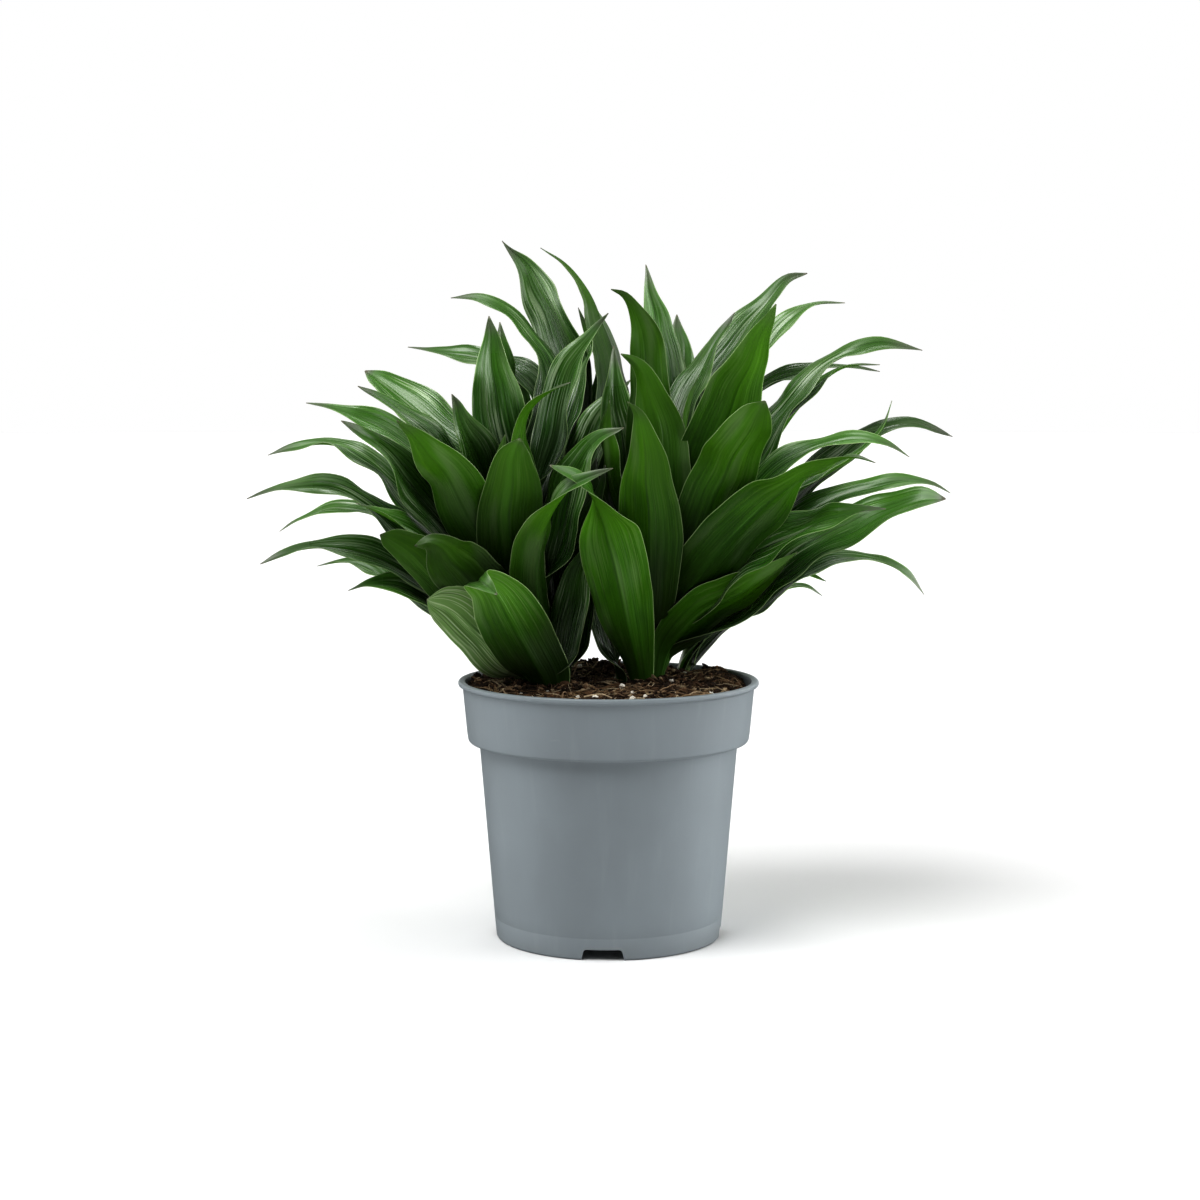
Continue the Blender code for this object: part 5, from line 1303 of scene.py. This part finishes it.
def make_stage():
    g = Graph("stage_white")
    g.done((0.82, 0.82, 0.82), 0.9, spec=0.1)
    n, R = 96, 9.0
    V = [(0.0, 0.0, 0.0)] + [(R * math.cos(2 * math.pi * k / n), R * math.sin(2 * math.pi * k / n), 0.0) for k in range(n)]
    F = [(0, 1 + k, 1 + (k + 1) % n) for k in range(n)]
    me = bpy.data.meshes.new("stage_floor")
    me.from_pydata(V, [], F)
    me.materials.append(g.mat)
    ob = bpy.data.objects.new("stage_floor", me)
    ob.location = (OX, OY, 0.0)
    bpy.context.scene.collection.objects.link(ob)
    ob.visible_glossy = False
    # studio: bright overhead and at both sides, dim low down behind the camera;
    # the backdrop itself is plain white
    world = bpy.data.worlds.new("studio")
    bpy.context.scene.world = world
    world.use_nodes = True
    nt = world.node_tree
    bg = nt.nodes["Background"]
    co = nt.nodes.new("ShaderNodeTexCoord").outputs["Generated"]
    xyz = nt.nodes.new("ShaderNodeSeparateXYZ")
    nt.links.new(co, xyz.inputs[0])

    def ramp(src, lo, hi, a, b):
        n = nt.nodes.new("ShaderNodeMapRange")
        n.interpolation_type = "SMOOTHSTEP"
        nt.links.new(src, n.inputs[0])
        for k, v in zip((1, 2, 3, 4), (lo, hi, a, b)):
            n.inputs[k].default_value = v
        return n.outputs[0]

    def op(kind, a, b):
        n = nt.nodes.new("ShaderNodeMath")
        n.operation = kind
        for k, v in enumerate((a, b)):
            if isinstance(v, float):
                n.inputs[k].default_value = v
            else:
                nt.links.new(v, n.inputs[k])
        return n.outputs[0]

    front = ramp(xyz.outputs[1], -0.15, -0.75, 0.0, 1.0)
    low = ramp(xyz.outputs[2], 0.75, 0.35, 0.0, 1.0)
    band = ramp(xyz.outputs[2], 0.60, 0.25, 0.0, 1.0)
    wings = op("ADD", op("ADD", ramp(xyz.outputs[0], -0.60, -0.95, 0.0, LEFT_GLOW), ramp(xyz.outputs[0], 0.60, 0.95, 0.0, RIGHT_GLOW)),
               ramp(xyz.outputs[1], 0.10, 0.80, 0.0, BACK_GLOW))
    glow = op("ADD", op("MULTIPLY", wings, band), AMBIENT)
    dim = op("SUBTRACT", 1.0, op("MULTIPLY", op("MULTIPLY", front, low), 0.85))
    under = ramp(xyz.outputs[2], -0.10, 0.02, 0.10, 1.0)
    level = op("MULTIPLY", op("MULTIPLY", glow, dim), under)
    seen = nt.nodes.new("ShaderNodeLightPath").outputs["Is Camera Ray"]
    pick = nt.nodes.new("ShaderNodeMix")
    pick.data_type = "FLOAT"
    nt.links.new(seen, pick.inputs[0])
    nt.links.new(level, pick.inputs[2])
    pick.inputs[3].default_value = 1.0
    nt.links.new(pick.outputs[0], bg.inputs["Strength"])
    bg.inputs["Color"].default_value = (1.0, 1.0, 1.0, 1.0)

    def sun(name, az, el, power, angle):
        d = bpy.data.lights.new(name, "SUN")
        d.energy = power
        d.angle = math.radians(angle)
        ob = bpy.data.objects.new(name, d)
        a, e = math.radians(az), math.radians(el)
        to = Vector((math.sin(a) * math.cos(e), -math.cos(a) * math.cos(e), math.sin(e)))
        ob.rotation_mode = "QUATERNION"
        ob.rotation_quaternion = to.to_track_quat("Z", "Y")
        ob.location = to * 2.0
        bpy.context.scene.collection.objects.link(ob)

    for light in SUNS:
        sun(*light)

    view = bpy.context.scene.view_settings
    view.view_transform = "Standard"
    view.look = "None"
    view.exposure = 0.0
    view.gamma = GAMMA

    cam = bpy.data.cameras.new("camera")
    cam.sensor_width = 36.0
    cam.lens = FOC / 1200.0 * 36.0
    cam.clip_start, cam.clip_end = 0.02, 40.0
    ob = bpy.data.objects.new("camera", cam)
    ob.location = (OX + EYE_X * MM, OY - EYE_D * MM, EYE_Z * MM)
    ob.rotation_euler = (math.pi / 2 - PITCH, 0.0, 0.0)
    bpy.context.scene.collection.objects.link(ob)
    bpy.context.scene.camera = ob


make_stage()
make_pot()
make_soil()
make_stems()
make_leaves()

bpy.context.view_layer.update()
